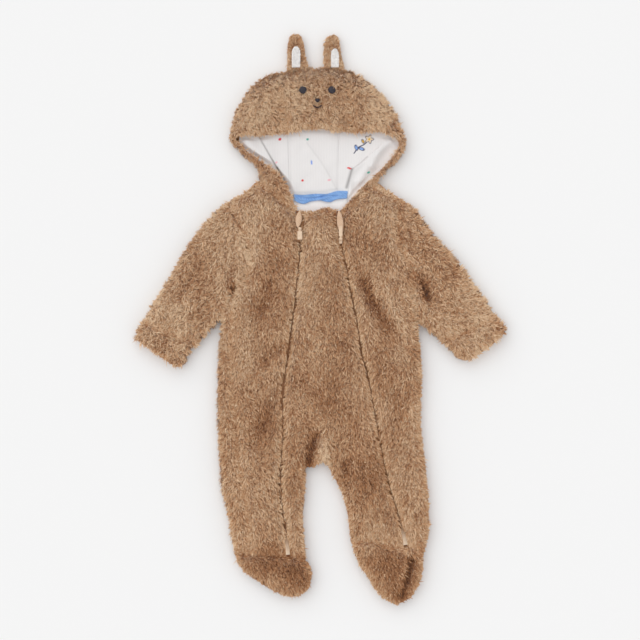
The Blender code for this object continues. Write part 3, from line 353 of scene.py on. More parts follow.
# The grid with its first and last columns moved to these lines. The shift fades away from them, so that
# patches which share a row still share it.
def pulledIn(grid, first=None, last=None):
    run = np.cumsum(np.hstack([np.zeros((len(grid), 1)), span(grid[:, :-1], grid[:, 1:])]), axis=1)
    whole = run[:, -1:]
    reach = np.minimum(pullReach, whole * (1 if first is None or last is None else 0.5))
    made = grid.copy()
    moved = run.copy()
    for line, col, far, way in ((first, 0, run, 1), (last, -1, whole - run, -1)):
        if line is not None:
            fade = np.clip(1 - far / reach, 0, 1)
            made += (line - grid[:, col])[:, None] * fade[..., None]
            moved += way * span(line, grid[:, col])[:, None] * fade
    for i in (0, -1):
        made[i] = placedOn(grid[i], moved[i])
    return made


# From each point to each stretch of a line of points: the way from its start, its run and the distance.
def toStretches(xy, line):
    rel, run = xy[..., None, :] - line[:-1], np.diff(line, axis=0)
    t = np.clip((rel * run).sum(-1) / (run ** 2).sum(-1), 0, 1)
    return rel, run, np.linalg.norm(rel - t[..., None] * run, axis=-1)


# The distance of each point to the nearest place on a line of points.
def away(xy, line):
    return toStretches(xy, line)[2].min(-1)


# The distance of each point to the nearest of several curves.
def nearest(xy, lines):
    return np.min([away(xy, smooth(line, 5)) for line in lines], axis=0)


# Whether each point is inside a closed line: it crosses the level of y an odd number of times.
def inside(xy, loop):
    a, b = loop, np.roll(loop, -1, axis=0)
    x, y = xy[..., 0, None], xy[..., 1, None]
    over = (a[:, 1] > y) != (b[:, 1] > y)
    height = np.where(b[:, 1] == a[:, 1], 1, b[:, 1] - a[:, 1])
    return (over & (x < a[:, 0] + (y - a[:, 1]) * (b[:, 0] - a[:, 0]) / height)).sum(-1) % 2 == 1


# A quarter circle: 0 on the edge, 1 at the radius and beyond.
def dome(distance, radius):
    return np.sqrt(1 - (1 - np.clip(distance / radius, 0, 1)) ** 2)


# What rounds each zone: its free outlines, and the rims where the front layer ends over another
trunk = dict(
    outlines=[shoulderLeft, shoulderRight, sideLeft, sideRight, legInnerLeft, legInnerRight,
              crotch, heelLeft, toeLeft, instepLeft, instepRight, toeRight, heelRight],
    rims=[creaseLeft, creaseRight, neckline],
)
sleeveZones = dict(
    left=dict(outlines=[sleeveTopLeft, sleeveUnderLeft], rims=[creaseLeft, cuffLeft]),
    right=dict(outlines=[sleeveTopRight, sleeveUnderRight], rims=[creaseRight, cuffRight]),
)
hood = dict(
    outlines=[hoodOutLeft, hoodCrownLeft, hoodCrown, hoodCrownRight, hoodOutRight],
    rims=[rimLowLeft, rimHighLeft, rimHigh, rimHighRight, rimLowRight],
)

# Seams sink the pile: the seam, depth, width
grooves = [
    (armholeLeft, 3.0, 5.0), (armholeRight, 3.0, 5.0), (hemLeft, 2.6, 5.0), (hemRight, 2.6, 5.0),
    (neckSeamLeft, 3.0, 6.0), (neckSeamRight, 3.0, 6.0), (sideSeamLeft, 2.4, 5.0),
    (ankleLeft, 2.8, 5.5), (ankleRight, 2.8, 5.5), (hoodSeamLeft, 2.4, 5.0),
    (hoodSeamRight, 2.4, 5.0), (zipLineLeft, 4.4, 8.0), (zipLineRight, 4.4, 8.0),
]


# The sum of the table's folds, each a soft ridge or trough along its line.
def rises(xy, table):
    return sum(rise * np.exp(-(away(xy, np.array([(x0, y0), (x1, y1)], float)) / width) ** 2)
               for x0, y0, x1, y1, rise, width in table)


# The front layer's top: the pile's height with folds and seams, rounded off at its edges.
def heightOf(xy, zone):
    z = plushTop + rises(xy, folds)
    z -= sum(depth * np.exp(-(nearest(xy, [line]) / width) ** 2) for line, depth, width in grooves)
    rim = rimShare + (1 - rimShare) * dome(nearest(xy, zone["rims"]), roundRim)
    share = np.minimum(dome(nearest(xy, zone["outlines"]), roundTop), rim)
    low = middle + noseHalf
    return low + (z - low) * share


# The back layer's underside: flat on the surface, rounded up at its outlines.
def underOf(xy, zone):
    return (middle - noseHalf - sunk(xy)) * (1 - dome(nearest(xy, zone["outlines"]), roundUnder))


# How much thinner the back layer is, to take the lining inside the hood and at the neck.
def sunk(xy):
    x, y = xy[..., 0], xy[..., 1]
    atNeck = np.clip((y - 98) / 14, 0, 1) * np.clip((90 - np.abs(x + 5)) / 14, 0, 1)
    return (liningThick + layerGap) * np.where(y > 188, 1, atNeck)


# The underside of the front layer.
def frontFloor(xy):
    return np.full(xy.shape[:-1], middle + layerGap / 2)


# The upper side of the back layer.
def backTop(xy):
    return middle - layerGap / 2 - sunk(xy)


# Points in space from a grid seen from above and its heights.
def at(xy, z):
    return np.concatenate([xy, np.broadcast_to(z, xy.shape[:-1])[..., None]], -1)


# The trunk's lines, one point for each row, and each seam's two sides
rowsLeft = np.r_[56, 41, 21, np.linspace(1, -178, 9), -193, -201]
rowsRight = np.r_[37.5, 16.5, np.linspace(-4, -178, 10), -191, -199]
bodyCells = len(rowsLeft) - 1
legCells = 6
crotchRow = armholeCells + bodyCells


def legRows(start, end):
    return start + (end - start) * evenly(legCells)


# A zip's middle line, from the neck past the armhole's rows and the body's to the ankle.
def zipRows(points, rows, end):
    top = points[0][1]
    upper = top + (rows[0] - top) * np.array(armholeAt)
    return atLevels(points, np.r_[upper[:-1], rows, legRows(rows[-1], end)[1:]])


# A seam's two sides: to the left of someone who walks along it, and to the right.
def twoSides(line):
    return beside(line, seamGap), beside(line, -seamGap)


zipLeft = zipRows(zipLineLeft, rowsLeft, -318.8)
zipRight = zipRows(zipLineRight, rowsRight, -305.5)
armLeft = joined(along(armholeLeft, armholeAt), along(creaseLeft, evenly(3)))
armRight = joined(along(armholeRight, armholeAt), along(creaseRight, evenly(2)))
armBodyLeft, armSleeveLeft = twoSides(armLeft)
armSleeveRight, armBodyRight = twoSides(armRight)
edgeLeft = joined(armBodyLeft, atLevels(sideLeft, np.r_[rowsLeft[3:], legRows(rowsLeft[-1], -315)[1:]]))
edgeRight = joined(armBodyRight,
                   atLevels(sideRight, np.r_[rowsRight[2:], legRows(rowsRight[-1], -315)[1:]]))
seamFront, seamStrip = twoSides(
    atLevels(sideSeamLeft, np.r_[rowsLeft, legRows(rowsLeft[-1], -316)[1:]]))
legLeft = atLevels(legInnerLeft, legRows(-201, -322))
legRight = atLevels(legInnerRight, legRows(-199, -301))
neckHoodLeft, neckFrontLeft = twoSides(along(neckSeamLeft, 1 - np.array(rimCols)[::-1]))
neckHoodRight, neckFrontRight = twoSides(along(neckSeamRight, rimCols))
underNeckLeft = along(backNeck[:3], underCols)
underNeckCentre = along(backNeck[2:5], evenly(6))
underNeckRight = along(backNeck[4:], 1 - np.array(underCols)[::-1])
neckHoodUnder, neckBack = twoSides(joined(underNeckLeft, underNeckCentre, underNeckRight))
tipCells, crownCells = 6, 7     # along a hood side's rim: to its tip, and on to the crown's seam
hoodSeams = {side: twoSides(along(table, rimCols))
             for side, table in (("left", hoodSeamLeft), ("right", hoodSeamRight))}
underSeams = {side: twoSides(along(table, crownSeamAt))
              for side, table in (("left", underSeamLeft), ("right", underSeamRight))}


# A panel's end at the ankle seam.
def ankleAt(points, x0, x1, cols):
    return crossing(points, x0, x1, cols) + (0, ankleGap)


# Each leg's fork line from the crotch row, and the panels' ends at the ankles, left to right
edgeZips = dict(left=(beside(zipLeft, -zipChannel), beside(zipLeft, zipChannel)),
                right=(beside(zipRight, -zipChannel), beside(zipRight, zipChannel)))
frontForkLeft = along([edgeZips["left"][1][crotchRow], legLeft[0]], (0, 0.3, 0.64, 0.88, 1))
frontForkRight = along([legRight[0], edgeZips["right"][0][crotchRow]], (0, 0.06, 0.22, 0.5, 0.8, 1))
backForkLeft = along([edgeLeft[crotchRow], legLeft[0]], (0, 0.07, 0.25, 0.48, 0.72, 0.93, 1))
backForkRight = along([legRight[0], edgeRight[crotchRow]], (0, 0.06, 0.28, 0.52, 0.76, 0.94, 1))
ankles = dict(
    strip=ankleAt(ankleLeft, edgeLeft[-1, 0], seamStrip[-1, 0], stripCols),
    frontLeft=ankleAt(ankleLeft, seamFront[-1, 0], edgeZips["left"][0][-1, 0], sideCols),
    centreLeft=ankleAt(ankleLeft, edgeZips["left"][1][-1, 0], legLeft[-1, 0], shares(frontForkLeft)),
    centreRight=ankleAt(ankleRight, legRight[-1, 0], edgeZips["right"][0][-1, 0],
                        shares(frontForkRight)),
    frontRight=ankleAt(ankleRight, edgeZips["right"][1][-1, 0], edgeRight[-1, 0], freeCols),
    backLeft=ankleAt(ankleLeft, edgeLeft[-1, 0], legLeft[-1, 0], shares(backForkLeft)),
    backRight=ankleAt(ankleRight, legRight[-1, 0], edgeRight[-1, 0], shares(backForkRight)),
)

# How finely each cell of a panel is cut, down and across
rowSteps, colSteps = 5, 3


# A grid cut finer, with cubics between its neighbouring lines that follow the lines next to them
def finer(grid, steps=(rowSteps, colSteps)):
    for axis, count in enumerate(steps):
        p = np.moveaxis(np.asarray(grid, float), axis, 0)
        t = np.linspace(0, 1, count, endpoint=False).reshape(1, -1, 1, 1)
        fine = cubics(p, np.gradient(p, axis=0), t)
        grid = np.moveaxis(np.concatenate([fine.reshape(-1, *p.shape[1:]), p[-1:]]), 0, axis)
    return grid


# Seeded sums of sine waves: the sum of sin(2 pi (x cos a + y sin a) / length + phase) over the waves, by the
# root of their number, mostly from -2 to 2
def waves(xy, seed, shortest, longest, count=9):
    rng = np.random.default_rng(seed)
    way, phase = rng.uniform(0, np.pi, count), rng.uniform(0, 2 * np.pi, count)
    length = rng.uniform(shortest, longest, count)
    run = xy[..., 0, None] * np.cos(way) + xy[..., 1, None] * np.sin(way)
    return np.sin(2 * np.pi * run / length + phase).sum(-1) / np.sqrt(count)


# A patch of a front layer: its outer side and its inner side
def frontWall(grid, zone, under=None):
    under = finer(grid if under is None else under)
    grid = finer(grid)
    return at(grid, heightOf(grid, zone)), at(under, frontFloor(under))


# A patch of a back layer
def backWall(grid, zone, upper=None):
    upper = finer(grid if upper is None else upper)
    grid = finer(grid)
    return at(grid, underOf(grid, zone)), at(upper, backTop(upper))


# The blunt strip round a fold, from a column of a front patch to one of a back patch
def foldBetween(a, i, b, j):
    return tuple(np.stack([x[:, i], y[:, j]], 1) for x, y in zip(a, b))


# Some rows of a patch, counted in the coarse grid's rows
def rowsOf(part, start, stop=None):
    last = None if stop is None else (stop - 1) * rowSteps + 1
    return tuple(grid[start * rowSteps:last] for grid in part)


# Meshes


# An object with this data, in the scene
def addObject(name, data):
    made = bpy.data.objects.new(name, data)
    bpy.context.scene.collection.objects.link(made)
    return made


# Faces are arrays of three or four columns of point numbers; values and uvs are put in whole
def addMesh(name, points, faceSets, finish, values=None, colours=None, uv=None):
    mesh = bpy.data.meshes.new(name)
    loops = np.concatenate([faces.ravel() for faces in faceSets]).astype(np.int32)
    sizes = np.concatenate([np.full(len(faces), faces.shape[1]) for faces in faceSets])
    mesh.vertices.add(len(points))
    mesh.vertices.foreach_set("co", (np.asarray(points) * mm).astype(np.float32).ravel())
    mesh.loops.add(len(loops))
    mesh.loops.foreach_set("vertex_index", loops)
    mesh.polygons.add(len(sizes))
    mesh.polygons.foreach_set("loop_start", np.r_[0, np.cumsum(sizes)[:-1]].astype(np.int32))
    mesh.update(calc_edges=True)
    mesh.shade_smooth()
    for key, numbers in (values or {}).items():
        made = mesh.attributes.new(key, "FLOAT", "POINT")
        made.data.foreach_set("value", np.asarray(numbers, np.float32))
    # The print colour attribute holds the jersey's print together with its painted shade and light
    if colours is not None:
        made = mesh.color_attributes.new("print", "FLOAT_COLOR", "POINT")
        colours = np.column_stack([colours, np.ones(len(colours))])
        made.data.foreach_set("color", colours.astype(np.float32).ravel())
    if uv is not None:
        mesh.uv_layers.new(name="OFBake").data.foreach_set("uv", np.asarray(uv, np.float32).ravel())
    mesh.materials.append(finish)
    made = addObject(name, mesh)
    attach(made, "garment")
    return made


# A closed wall from outer points, inner points and outer faces. A tone has one value for each outer point.
def addWall(name, points, inner, faces, finish, tone=None, colours=None):
    return addMesh(name, np.vstack([points, inner]), wallFaces(faces, len(points)), finish,
                   values=None if tone is None else {"tone": np.tile(tone, 2)},
                   colours=None if colours is None else np.tile(colours, (2, 1)))


# Joins patches that share edges: outer points, inner points and outer faces, which look away from the inner
# side
def joinPatches(patches):
    points, faces, count = [], [], 0
    for outer, inner in patches:
        rows, cols = outer.shape[0] - 1, outer.shape[1] - 1
        a = (np.arange(rows)[:, None] * (cols + 1) + np.arange(cols)).ravel()
        quads = np.column_stack([a, a + 1, a + cols + 2, a + cols + 1])
        top, low = outer.reshape(-1, 3), inner.reshape(-1, 3)
        if (crossOf(top, quads) * (top[quads].mean(1) - low[quads].mean(1))).sum() < 0:
            quads = quads[:, ::-1]
        points.append(np.hstack([top, low]))
        faces.append(quads + count)
        count += len(top)
    points = np.vstack(points)
    _, first, place = np.unique(np.round(points, 3), axis=0, return_index=True, return_inverse=True)
    return points[first, :3], points[first, 3:], place.reshape(-1)[np.vstack(faces)]


# The faces of a closed wall: outer, inner turned round, and sides along the open edges
def wallFaces(faces, n):
    a, b = faces.ravel(), np.roll(faces, -1, axis=1).ravel()
    free = ~np.isin(a * n + b, b * n + a)
    a, b = a[free], b[free]
    return [faces, faces[:, ::-1] + n, np.column_stack([b, a, a + n, b + n])]


# Each face's normal, twice as long as its area: the cross product of its diagonals
def crossOf(points, faces):
    return np.cross(points[faces[:, 2]] - points[faces[:, 0]], points[faces[:, 3]] - points[faces[:, 1]])


# Each point's normal: the sum of its faces' normals, evened out over its neighbours a few times
def pointNormals(points, faces, rounds=2):
    across = crossOf(points, faces)
    for step in range(rounds + 1):
        normal = np.zeros_like(points)
        for corner in range(4):
            np.add.at(normal, faces[:, corner], across)
        normal /= np.maximum(np.linalg.norm(normal, axis=1), 1e-9)[:, None]
        across = normal[faces].mean(1)
    return normal


# Materials

# An sRGB hex colour as linear numbers
def linear(code):
    part = np.array([int(code[i:i + 2], 16) for i in (1, 3, 5)]) / 255
    return np.where(part <= 0.04045, part / 12.92, ((part + 0.055) / 1.055) ** 2.4)


# Adds a node with its settings, its sockets' values, its links and a ramp's stops, as (place, hex colour)
def addNode(tree, kind, values=None, links=None, stops=(), **settings):
    made = tree.nodes.new("ShaderNode" + kind)
    for key, value in settings.items():
        setattr(made, key, value)
    for socket, value in (values or {}).items():
        made.inputs[socket].default_value = value
    for socket, source in (links or {}).items():
        tree.links.new(source, made.inputs[socket])
    for _ in stops[2:]:
        made.color_ramp.elements.new(0.5)
    for i, (place, code) in enumerate(stops):
        made.color_ramp.elements[i].position = place
        made.color_ramp.elements[i].color = (*linear(code), 1)
    return made


# A material with its shader's own sockets set; gives the material, its tree and its shader
def newMaterial(name, **sockets):
    made = bpy.data.materials.new(name)
    made.use_nodes = True
    shader = made.node_tree.nodes["Principled BSDF"]
    for key, value in sockets.items():
        shader.inputs[key.replace("_", " ")].default_value = value
    return made, made.node_tree, shader


# Ends a material: its colour, and a bump this strong and this many millimetres deep
def finishMaterial(tree, shader, colour, height=None, strength=0.3, depth=0.2):
    tree.links.new(colour.outputs[0], shader.inputs["Base Color"])
    if height is not None:
        bump = addNode(tree, "Bump", {"Strength": strength, "Distance": depth * mm}, {"Height": height})
        tree.links.new(bump.outputs[0], shader.inputs["Normal"])


# A wave texture's scale for lines of this size in millimetres. They are then 1.95 times as far apart along an
# axis, and 2.75 times on a slant.
def lineScale(size):
    return 1 / (6.2 * size * mm)


# The ramp's colours, from the darkest, used for the roots' painted shade, to the palest, used for the tips'
# painted light
plushLook = dict(roots="#4E2C18", dark="#905C37", middle="#BF8B61", light="#D9B18A", tips="#EDD0AD",
                 streak=2.2, streakTone=0.22)


# Teddy fleece, a knitted polyester pile: matt and soft, with a faint bloom at its edges; its dark roots are
# painted shade and its pale tips painted light, carried by the tone attribute
def makePlushMaterial():
    made, tree, shader = newMaterial("teddy_fleece", Roughness=0.8, Sheen_Weight=0.35, Sheen_Roughness=0.5,
                                     Specular_IOR_Level=0.25)
    place = addNode(tree, "TexCoord").outputs["Object"]
    tone = addNode(tree, "Attribute", attribute_name="tone").outputs["Fac"]
    streak = addNode(tree, "TexNoise", {"Scale": 1 / (plushLook["streak"] * mm), "Detail": 2.0},
                     {"Vector": place}).outputs["Fac"]
    mixed = addNode(tree, "Math", {1: plushLook["streakTone"]}, {0: streak, 2: tone},
                    operation="MULTIPLY_ADD")
    stops = [(0.0, plushLook["roots"]), (0.3, plushLook["dark"]), (0.58, plushLook["middle"]),
             (0.8, plushLook["light"]), (1.0, plushLook["tips"])]
    colour = addNode(tree, "ValToRGB", links={"Fac": mixed.outputs[0]}, stops=stops)
    finishMaterial(tree, shader, colour, streak, strength=0.35, depth=0.6)
    return made


# The same fleece in white, for the ears' insides
def makeWhitePlushMaterial():
    made, tree, shader = newMaterial("white_fleece", Roughness=0.85, Sheen_Weight=0.2, Specular_IOR_Level=0.2)
    tone = addNode(tree, "Attribute", attribute_name="tone").outputs["Fac"]
    colour = addNode(tree, "ValToRGB", links={"Fac": tone}, stops=[(0.0, "#CFC9C4"), (0.6, "#FCFAF8")])
    finishMaterial(tree, shader, colour)
    return made


# Printed cotton jersey: smooth and matt, with faint ribs, drawn about 2 mm apart so that they show. Its
# colour attribute holds the print together with painted shade and light along the lining's folds and edges
def makeJerseyMaterial():
    made, tree, shader = newMaterial("cotton_jersey", Roughness=0.9, Sheen_Weight=0.1, Specular_IOR_Level=0.2)
    place = addNode(tree, "TexCoord").outputs["Object"]
    rib = addNode(tree, "TexWave", {"Scale": lineScale(1.1), "Distortion": 1.5, "Detail": 1.0},
                  {"Vector": place}, bands_direction="X").outputs["Fac"]
    shade = addNode(tree, "MapRange", {"To Min": 0.95, "To Max": 1.0}, {"Value": rib}).outputs[0]
    printed = addNode(tree, "Attribute", attribute_name="print").outputs["Color"]
    colour = addNode(tree, "VectorMath", links={0: printed, "Scale": shade}, operation="SCALE")
    finishMaterial(tree, shader, colour, rib)
    return made


# Woven cotton twill: fine slanting lines, drawn more than 2 mm apart so that they show, and slightly cloudy
def makeTwillMaterial(name, dark, light, line):
    made, tree, shader = newMaterial(name, Roughness=0.85, Sheen_Weight=0.15, Specular_IOR_Level=0.25)
    place = addNode(tree, "TexCoord").outputs["Object"]
    weave = addNode(tree, "TexWave", {"Scale": lineScale(line), "Distortion": 0.8, "Detail": 1.0},
                    {"Vector": place}, bands_direction="DIAGONAL").outputs["Fac"]
    cloud = addNode(tree, "TexNoise", {"Scale": 1 / (9 * mm), "Detail": 3.0},
                    {"Vector": place}).outputs["Fac"]
    mixed = addNode(tree, "Math", {1: 0.4}, {0: weave, 2: cloud}, operation="MULTIPLY_ADD").outputs[0]
    colour = addNode(tree, "ValToRGB", links={"Fac": mixed}, stops=[(0.35, dark), (0.95, light)])
    finishMaterial(tree, shader, colour, weave, strength=0.4, depth=0.25)
    return made


# A zip's dyed polyester tape and its nylon teeth: beige where the pile leaves them bare, and painted brown
# elsewhere, as shade in the channel under the pile
def makeZipMaterial(name, roughness):
    made, tree, shader = newMaterial(name, Roughness=roughness, Specular_IOR_Level=0.35)
    place = addNode(tree, "TexCoord").outputs["Object"]
    bare = addNode(tree, "Attribute", attribute_name="tone").outputs["Fac"]
    cloud = addNode(tree, "TexNoise", {"Scale": 1 / (4 * mm), "Detail": 3.0},
                    {"Vector": place}).outputs["Fac"]
    mixed = addNode(tree, "Math", {1: 0.3}, {0: cloud, 2: bare}, operation="MULTIPLY_ADD").outputs[0]
    colour = addNode(tree, "ValToRGB", links={"Fac": mixed},
                     stops=[(0.0, "#7A4F33"), (0.3, "#9A6B47"), (1.0, "#F2DCC2")])
    finishMaterial(tree, shader, colour, cloud)
    return made


# Zinc casting, sprayed: an even satin coat, a little paler where it is rubbed
def makePaintedMetalMaterial():
    made, tree, shader = newMaterial("painted_zinc", Roughness=0.42, Specular_IOR_Level=0.5)
    place = addNode(tree, "TexCoord").outputs["Object"]
    cloud = addNode(tree, "TexNoise", {"Scale": 1 / (3 * mm), "Detail": 4.0},
                    {"Vector": place}).outputs["Fac"]
    finishMaterial(tree, shader, addNode(tree, "ValToRGB", links={"Fac": cloud},
                                         stops=[(0.3, "#DABB9C"), (0.7, "#E6CCB0")]))
    return made


# Embroidery thread laid side by side: dark, with a silky gloss along the stitches
def makeThreadMaterial():
    made, tree, shader = newMaterial("embroidery_thread", Roughness=0.45, Specular_IOR_Level=0.5)
    place = addNode(tree, "TexCoord").outputs["Object"]
    stitch = addNode(tree, "TexWave", {"Scale": lineScale(0.9), "Distortion": 1.0}, {"Vector": place},
                     bands_direction="Y").outputs["Fac"]
    colour = addNode(tree, "ValToRGB", links={"Fac": stitch}, stops=[(0.0, "#141019"), (1.0, "#2E2734")])
    finishMaterial(tree, shader, colour, stitch, strength=0.5, depth=0.3)
    return made


plush = makePlushMaterial()
whitePlush = makeWhitePlushMaterial()
jersey = makeJerseyMaterial()
blueTwill = makeTwillMaterial("blue_twill", "#6A95D0", "#8DB3E5", line=0.9)
beigeTwill = makeTwillMaterial("beige_twill", "#CBA686", "#DDBFA3", line=0.8)
zipTwill = makeZipMaterial("zip_tape", 0.85)
zipNylon = makeZipMaterial("zip_teeth", 0.45)
paintedMetal = makePaintedMetalMaterial()
thread = makeThreadMaterial()

# The pile

pile = dict(
    depth=4.7,          # from the cloth to the tips, on top
    under=0.26,         # how much of that is left underneath, where the pile is pressed flat
    perArea=0.92,       # locks on each square millimetre on top
    underShare=0.07, downward=0.62,     # the share of them underneath, where the normal points down this much
    lean=37, leanSpread=12, turnSpread=18,      # degrees from upright, and how much the locks differ
    leanLimits=(12, 72), combSpread=0.12,
    bend=0.3,           # radians more upright at the root than the mean, and as much flatter at the tip
    width=1.1, rootWidth=0.7, widths=(0.7, 1.25), lengths=(0.75, 1.2),      # all but the first are shares
    # The locks' dark roots are painted shade, and their pale tips and steep sides painted light
    lockTone=0.15, rootShade=0.13, tipLight=0.12, sideLight=0.1,   # darker at roots, paler at tips and sides
    tuft=0.38,          # how much the tufts at the outlines differ in length
    zipPress=20, seamPress=8, seamMore=0.9,     # beside zips and seams: degrees flatter, and how many more
    besideReach=8,      # how far from a zip, a seam or an edge those reach
    clump=2.6, gather=0.35, clumpTurn=14, clumpLean=5, clumpLength=0.1, clumpTone=0.015,  # tufts
    clumpBend=0.35, clumpSpread=0.3,            # how far their rows bend and their middles stray
    turn=20, smallTurn=9,       # how far broad and small waves turn the way that the pile lies
    edge=11, seam=8,    # how far in from an edge the pile turns outwards, and from a seam towards it
    edgePull=2.2, seamPull=1.7,
    pressedAt=-0.75, freeAt=0.15,       # the normal's z where the pile is pressed flat, and where it isn't
)
tuftedPile = dict(pile, clump=3.2, gather=0.55, clumpTurn=30, clumpTone=0.035)
curlyPile = dict(pile, depth=5.2, perArea=1.25, width=0.9, tuft=0.22, clumpTurn=44, clump=2.8, gather=0.5,
                 clumpLength=0.14, clumpTone=0.04)

# Broad patches of painted shade and light, darker where the pile is brushed away from the light and paler
# where it
# is lit: x, y, half width, half height, change
shadeAndLightPatches = [
    (-62, -326, 44, 20, -0.27), (96, -326, 42, 21, -0.22), (-36, -352, 24, 20, -0.2),
    (104, -358, 26, 22, -0.16), (-3, 292, 135, 52, 0.075), (-70, -230, 60, 80, -0.03),
    (90, -230, 60, 80, -0.03), (20, -120, 34, 60, -0.1), (5, 0, 34, 90, -0.08), (60, -190, 20, 60, -0.1),
    (-100, -60, 18, 60, 0.1), (-75, -150, 16, 40, -0.1), (-60, -220, 26, 50, 0.04), (110, -130, 22, 60, 0.05),
    (-8, 290, 40, 34, -0.03), (-90, 280, 26, 40, 0.06), (85, 280, 22, 40, 0.05), (-205, 20, 40, 60, 0.19),
    (205, 10, 40, 60, 0.16), (-75, 145, 34, 34, 0.11), (75, 145, 34, 34, 0.1), (-112, 120, 16, 50, 0.08),
    (-150, 100, 34, 50, 0.1), (-100, 40, 16, 60, 0.08), (-119, 40, 5, 10, -0.6), (143, 38, 5, 11, -0.5),
    (-8, 334, 60, 12, 0.14),
]
# Lines of painted shade, darker in creases, seams and gaps, and of painted light, paler on a ridge: x0, y0,
# x1, y1, change, width
shadeAndLightLines = [
    (42, 77, 61, 9, 0.12, 5), (57, 55, 91, -14, -0.2, 5), (-101, 77, -109, 25, 0.12, 7),
    (-7, -155, -16, -200, -0.3, 3.5), (123, -325, 110, -375, -0.3, 3.5), (115, -330, 112, -362, 0.12, 5),
    (-116, -130, -113, -170, -0.28, 2), (-112, -180, -97, -273, -0.14, 2.2), (32, -191, 34, -219, -0.16, 2.2),
    (-91, -351, -57, -372, -0.3, 3), (2, -168, 5, -190, 0.14, 7), (-238, -4, -207, -21, -0.12, 3),
    (-207, -21, -163, -32, -0.12, 3), (237, 2, 208, -12, -0.12, 3), (208, -12, 163, -31, -0.12, 3),
    (-23, 143, -24, 123, -0.35, 1.8), (20, 142, 20, 126, -0.35, 1.8), (-99, 90, -94, 74, 0.1, 5),
    (-86, 52, -88, 40, 0.18, 3), (-118, 148, -104, 121, -0.26, 2), (-104, 121, -96, 100, -0.26, 2),
    (-110, 112, -101, 88, 0.12, 5), (-90, 120, -87, 80, 0.1, 6), (107, 150, 106, 112, -0.22, 2),
    (106, 112, 113, 88, -0.2, 2), (98, 140, 97, 100, 0.1, 5), (-72, 176, -42, 152, -0.2, 3),
    (40, 153, 68, 176, -0.2, 3), (-110, 48, -119, 36, -0.4, 3), (132, 56, 143, 30, -0.3, 3),
]
# The mean; painted light and shade on folds: what a millimetre of a fold's height adds and within what;
# painted light beside a zip at this distance and over this width; painted shade along a seam; painted light
# near an edge
toneAndShadeLook = dict(mean=0.56, folds=0.05, foldLimits=(-0.2, 0.12), zip=0.08, zipAt=6, zipWidth=3, seam=0.06,
                seamWidth=3, edge=0.07, edgeWidth=10)
seamLines = [line for line, _, _ in grooves]


# How light the pile is at each point: broad clouds of tone, with painted shade in troughs and along seams,
# painted light on ridges and beside zips, and the painted shade and light of the patches and lines
def toneAndShadeOf(xy):
    look = toneAndShadeLook
    tone = look["mean"] + 0.06 * waves(xy * (1, 0.55), 5, 38, 120) + 0.03 * waves(xy * (1, 0.6), 6, 16, 34)
    tone += np.clip(look["folds"] * rises(xy, folds), *look["foldLimits"])
    for x, y, wide, high, change in shadeAndLightPatches:
        tone += change * np.exp(-(((xy[..., 0] - x) / wide) ** 2 + ((xy[..., 1] - y) / high) ** 2) ** 1.5)
    fromZip = nearest(xy, [zipLineLeft, zipLineRight])
    tone += look["zip"] * np.exp(-((fromZip - look["zipAt"]) / look["zipWidth"]) ** 2)
    tone += rises(xy, shadeAndLightLines)
    return tone - look["seam"] * np.exp(-(nearest(xy, seamLines) / look["seamWidth"]) ** 2)


# The way to the nearest of several lines, from the slope of the distance, and the distance
def towards(xy, lines):
    slope = [nearest(xy - step, lines) - nearest(xy + step, lines) for step in ((0.5, 0), (0, 0.5))]
    return np.stack(slope, -1), nearest(xy, lines)


# The way the pile lies: the piece's own way, turned by broad waves, outwards beside an edge and across a seam
def combOf(xy, way, edges):
    turn = pile["turn"] * waves(xy, 11, 55, 150)
    turn = np.radians(way + turn + pile["smallTurn"] * waves(xy, 12, 22, 50))
    comb = np.stack([np.cos(turn), np.sin(turn)], -1)
    for lines, reach, strength in ((edges, pile["edge"], pile["edgePull"]),
                                   (seamLines, pile["seam"], pile["seamPull"])):
        aside, far = towards(xy, lines)
        comb = comb + strength * aside * np.clip(1 - far / reach, 0, 1)[..., None]
    return comb / np.maximum(np.linalg.norm(comb, axis=-1), 0.05)[..., None]


# How near the tips come to a zip's middle line: less where its line shows, and not over its bare end
zipShows = dict(least=0.1, more=0.45, bare=2.5, within=14,
                at=((zipLineLeft, -60, 100), (zipLineRight, -40, 80)))


# Points that would cross a zip, moved back across it to where their roots are
def stopAtZips(points, root):
    for table, at, reach in zipShows["at"]:
        line = smooth(table)
        first, now = (p[:, 0] - np.interp(-p[:, 1], -line[:, 1], line[:, 0]) for p in (root, points))
        y = points[:, 1]
        stop = zipShows["least"] + zipShows["more"] * np.exp(-((y - at) / reach) ** 4)
        stop += zipShows["bare"] * np.clip((line[-1, 1] + zipEndLength - y) / 2, 0, 1)
        off = now * np.sign(first)
        alongside = (y < line[0, 1]) & (y > line[-1, 1]) & (root[:, 2] > middle)
        near = (np.abs(first) < zipShows["within"]) & (off < stop) & alongside
        points[:, 0] += np.where(near, np.sign(first) * (stop - off), 0)


# Each lock's own cell in the picture that its colour is baked to, with its five corners in it
def cellsOf(count):
    cols = int(np.ceil(np.sqrt(count * 2)))
    rows = int(np.ceil(count / cols))
    corner = np.stack([np.arange(count) % cols / cols, np.arange(count) // cols / rows], 1)[:, None]
    uv = corner + np.array([(0.15, 0.08), (0.85, 0.08), (0.15, 0.5), (0.85, 0.5), (0.5, 0.95)]) / (cols, rows)
    return np.concatenate([uv[:, (0, 1, 3, 2)].reshape(-1, 2), uv[:, (2, 3, 4)].reshape(-1, 2)])


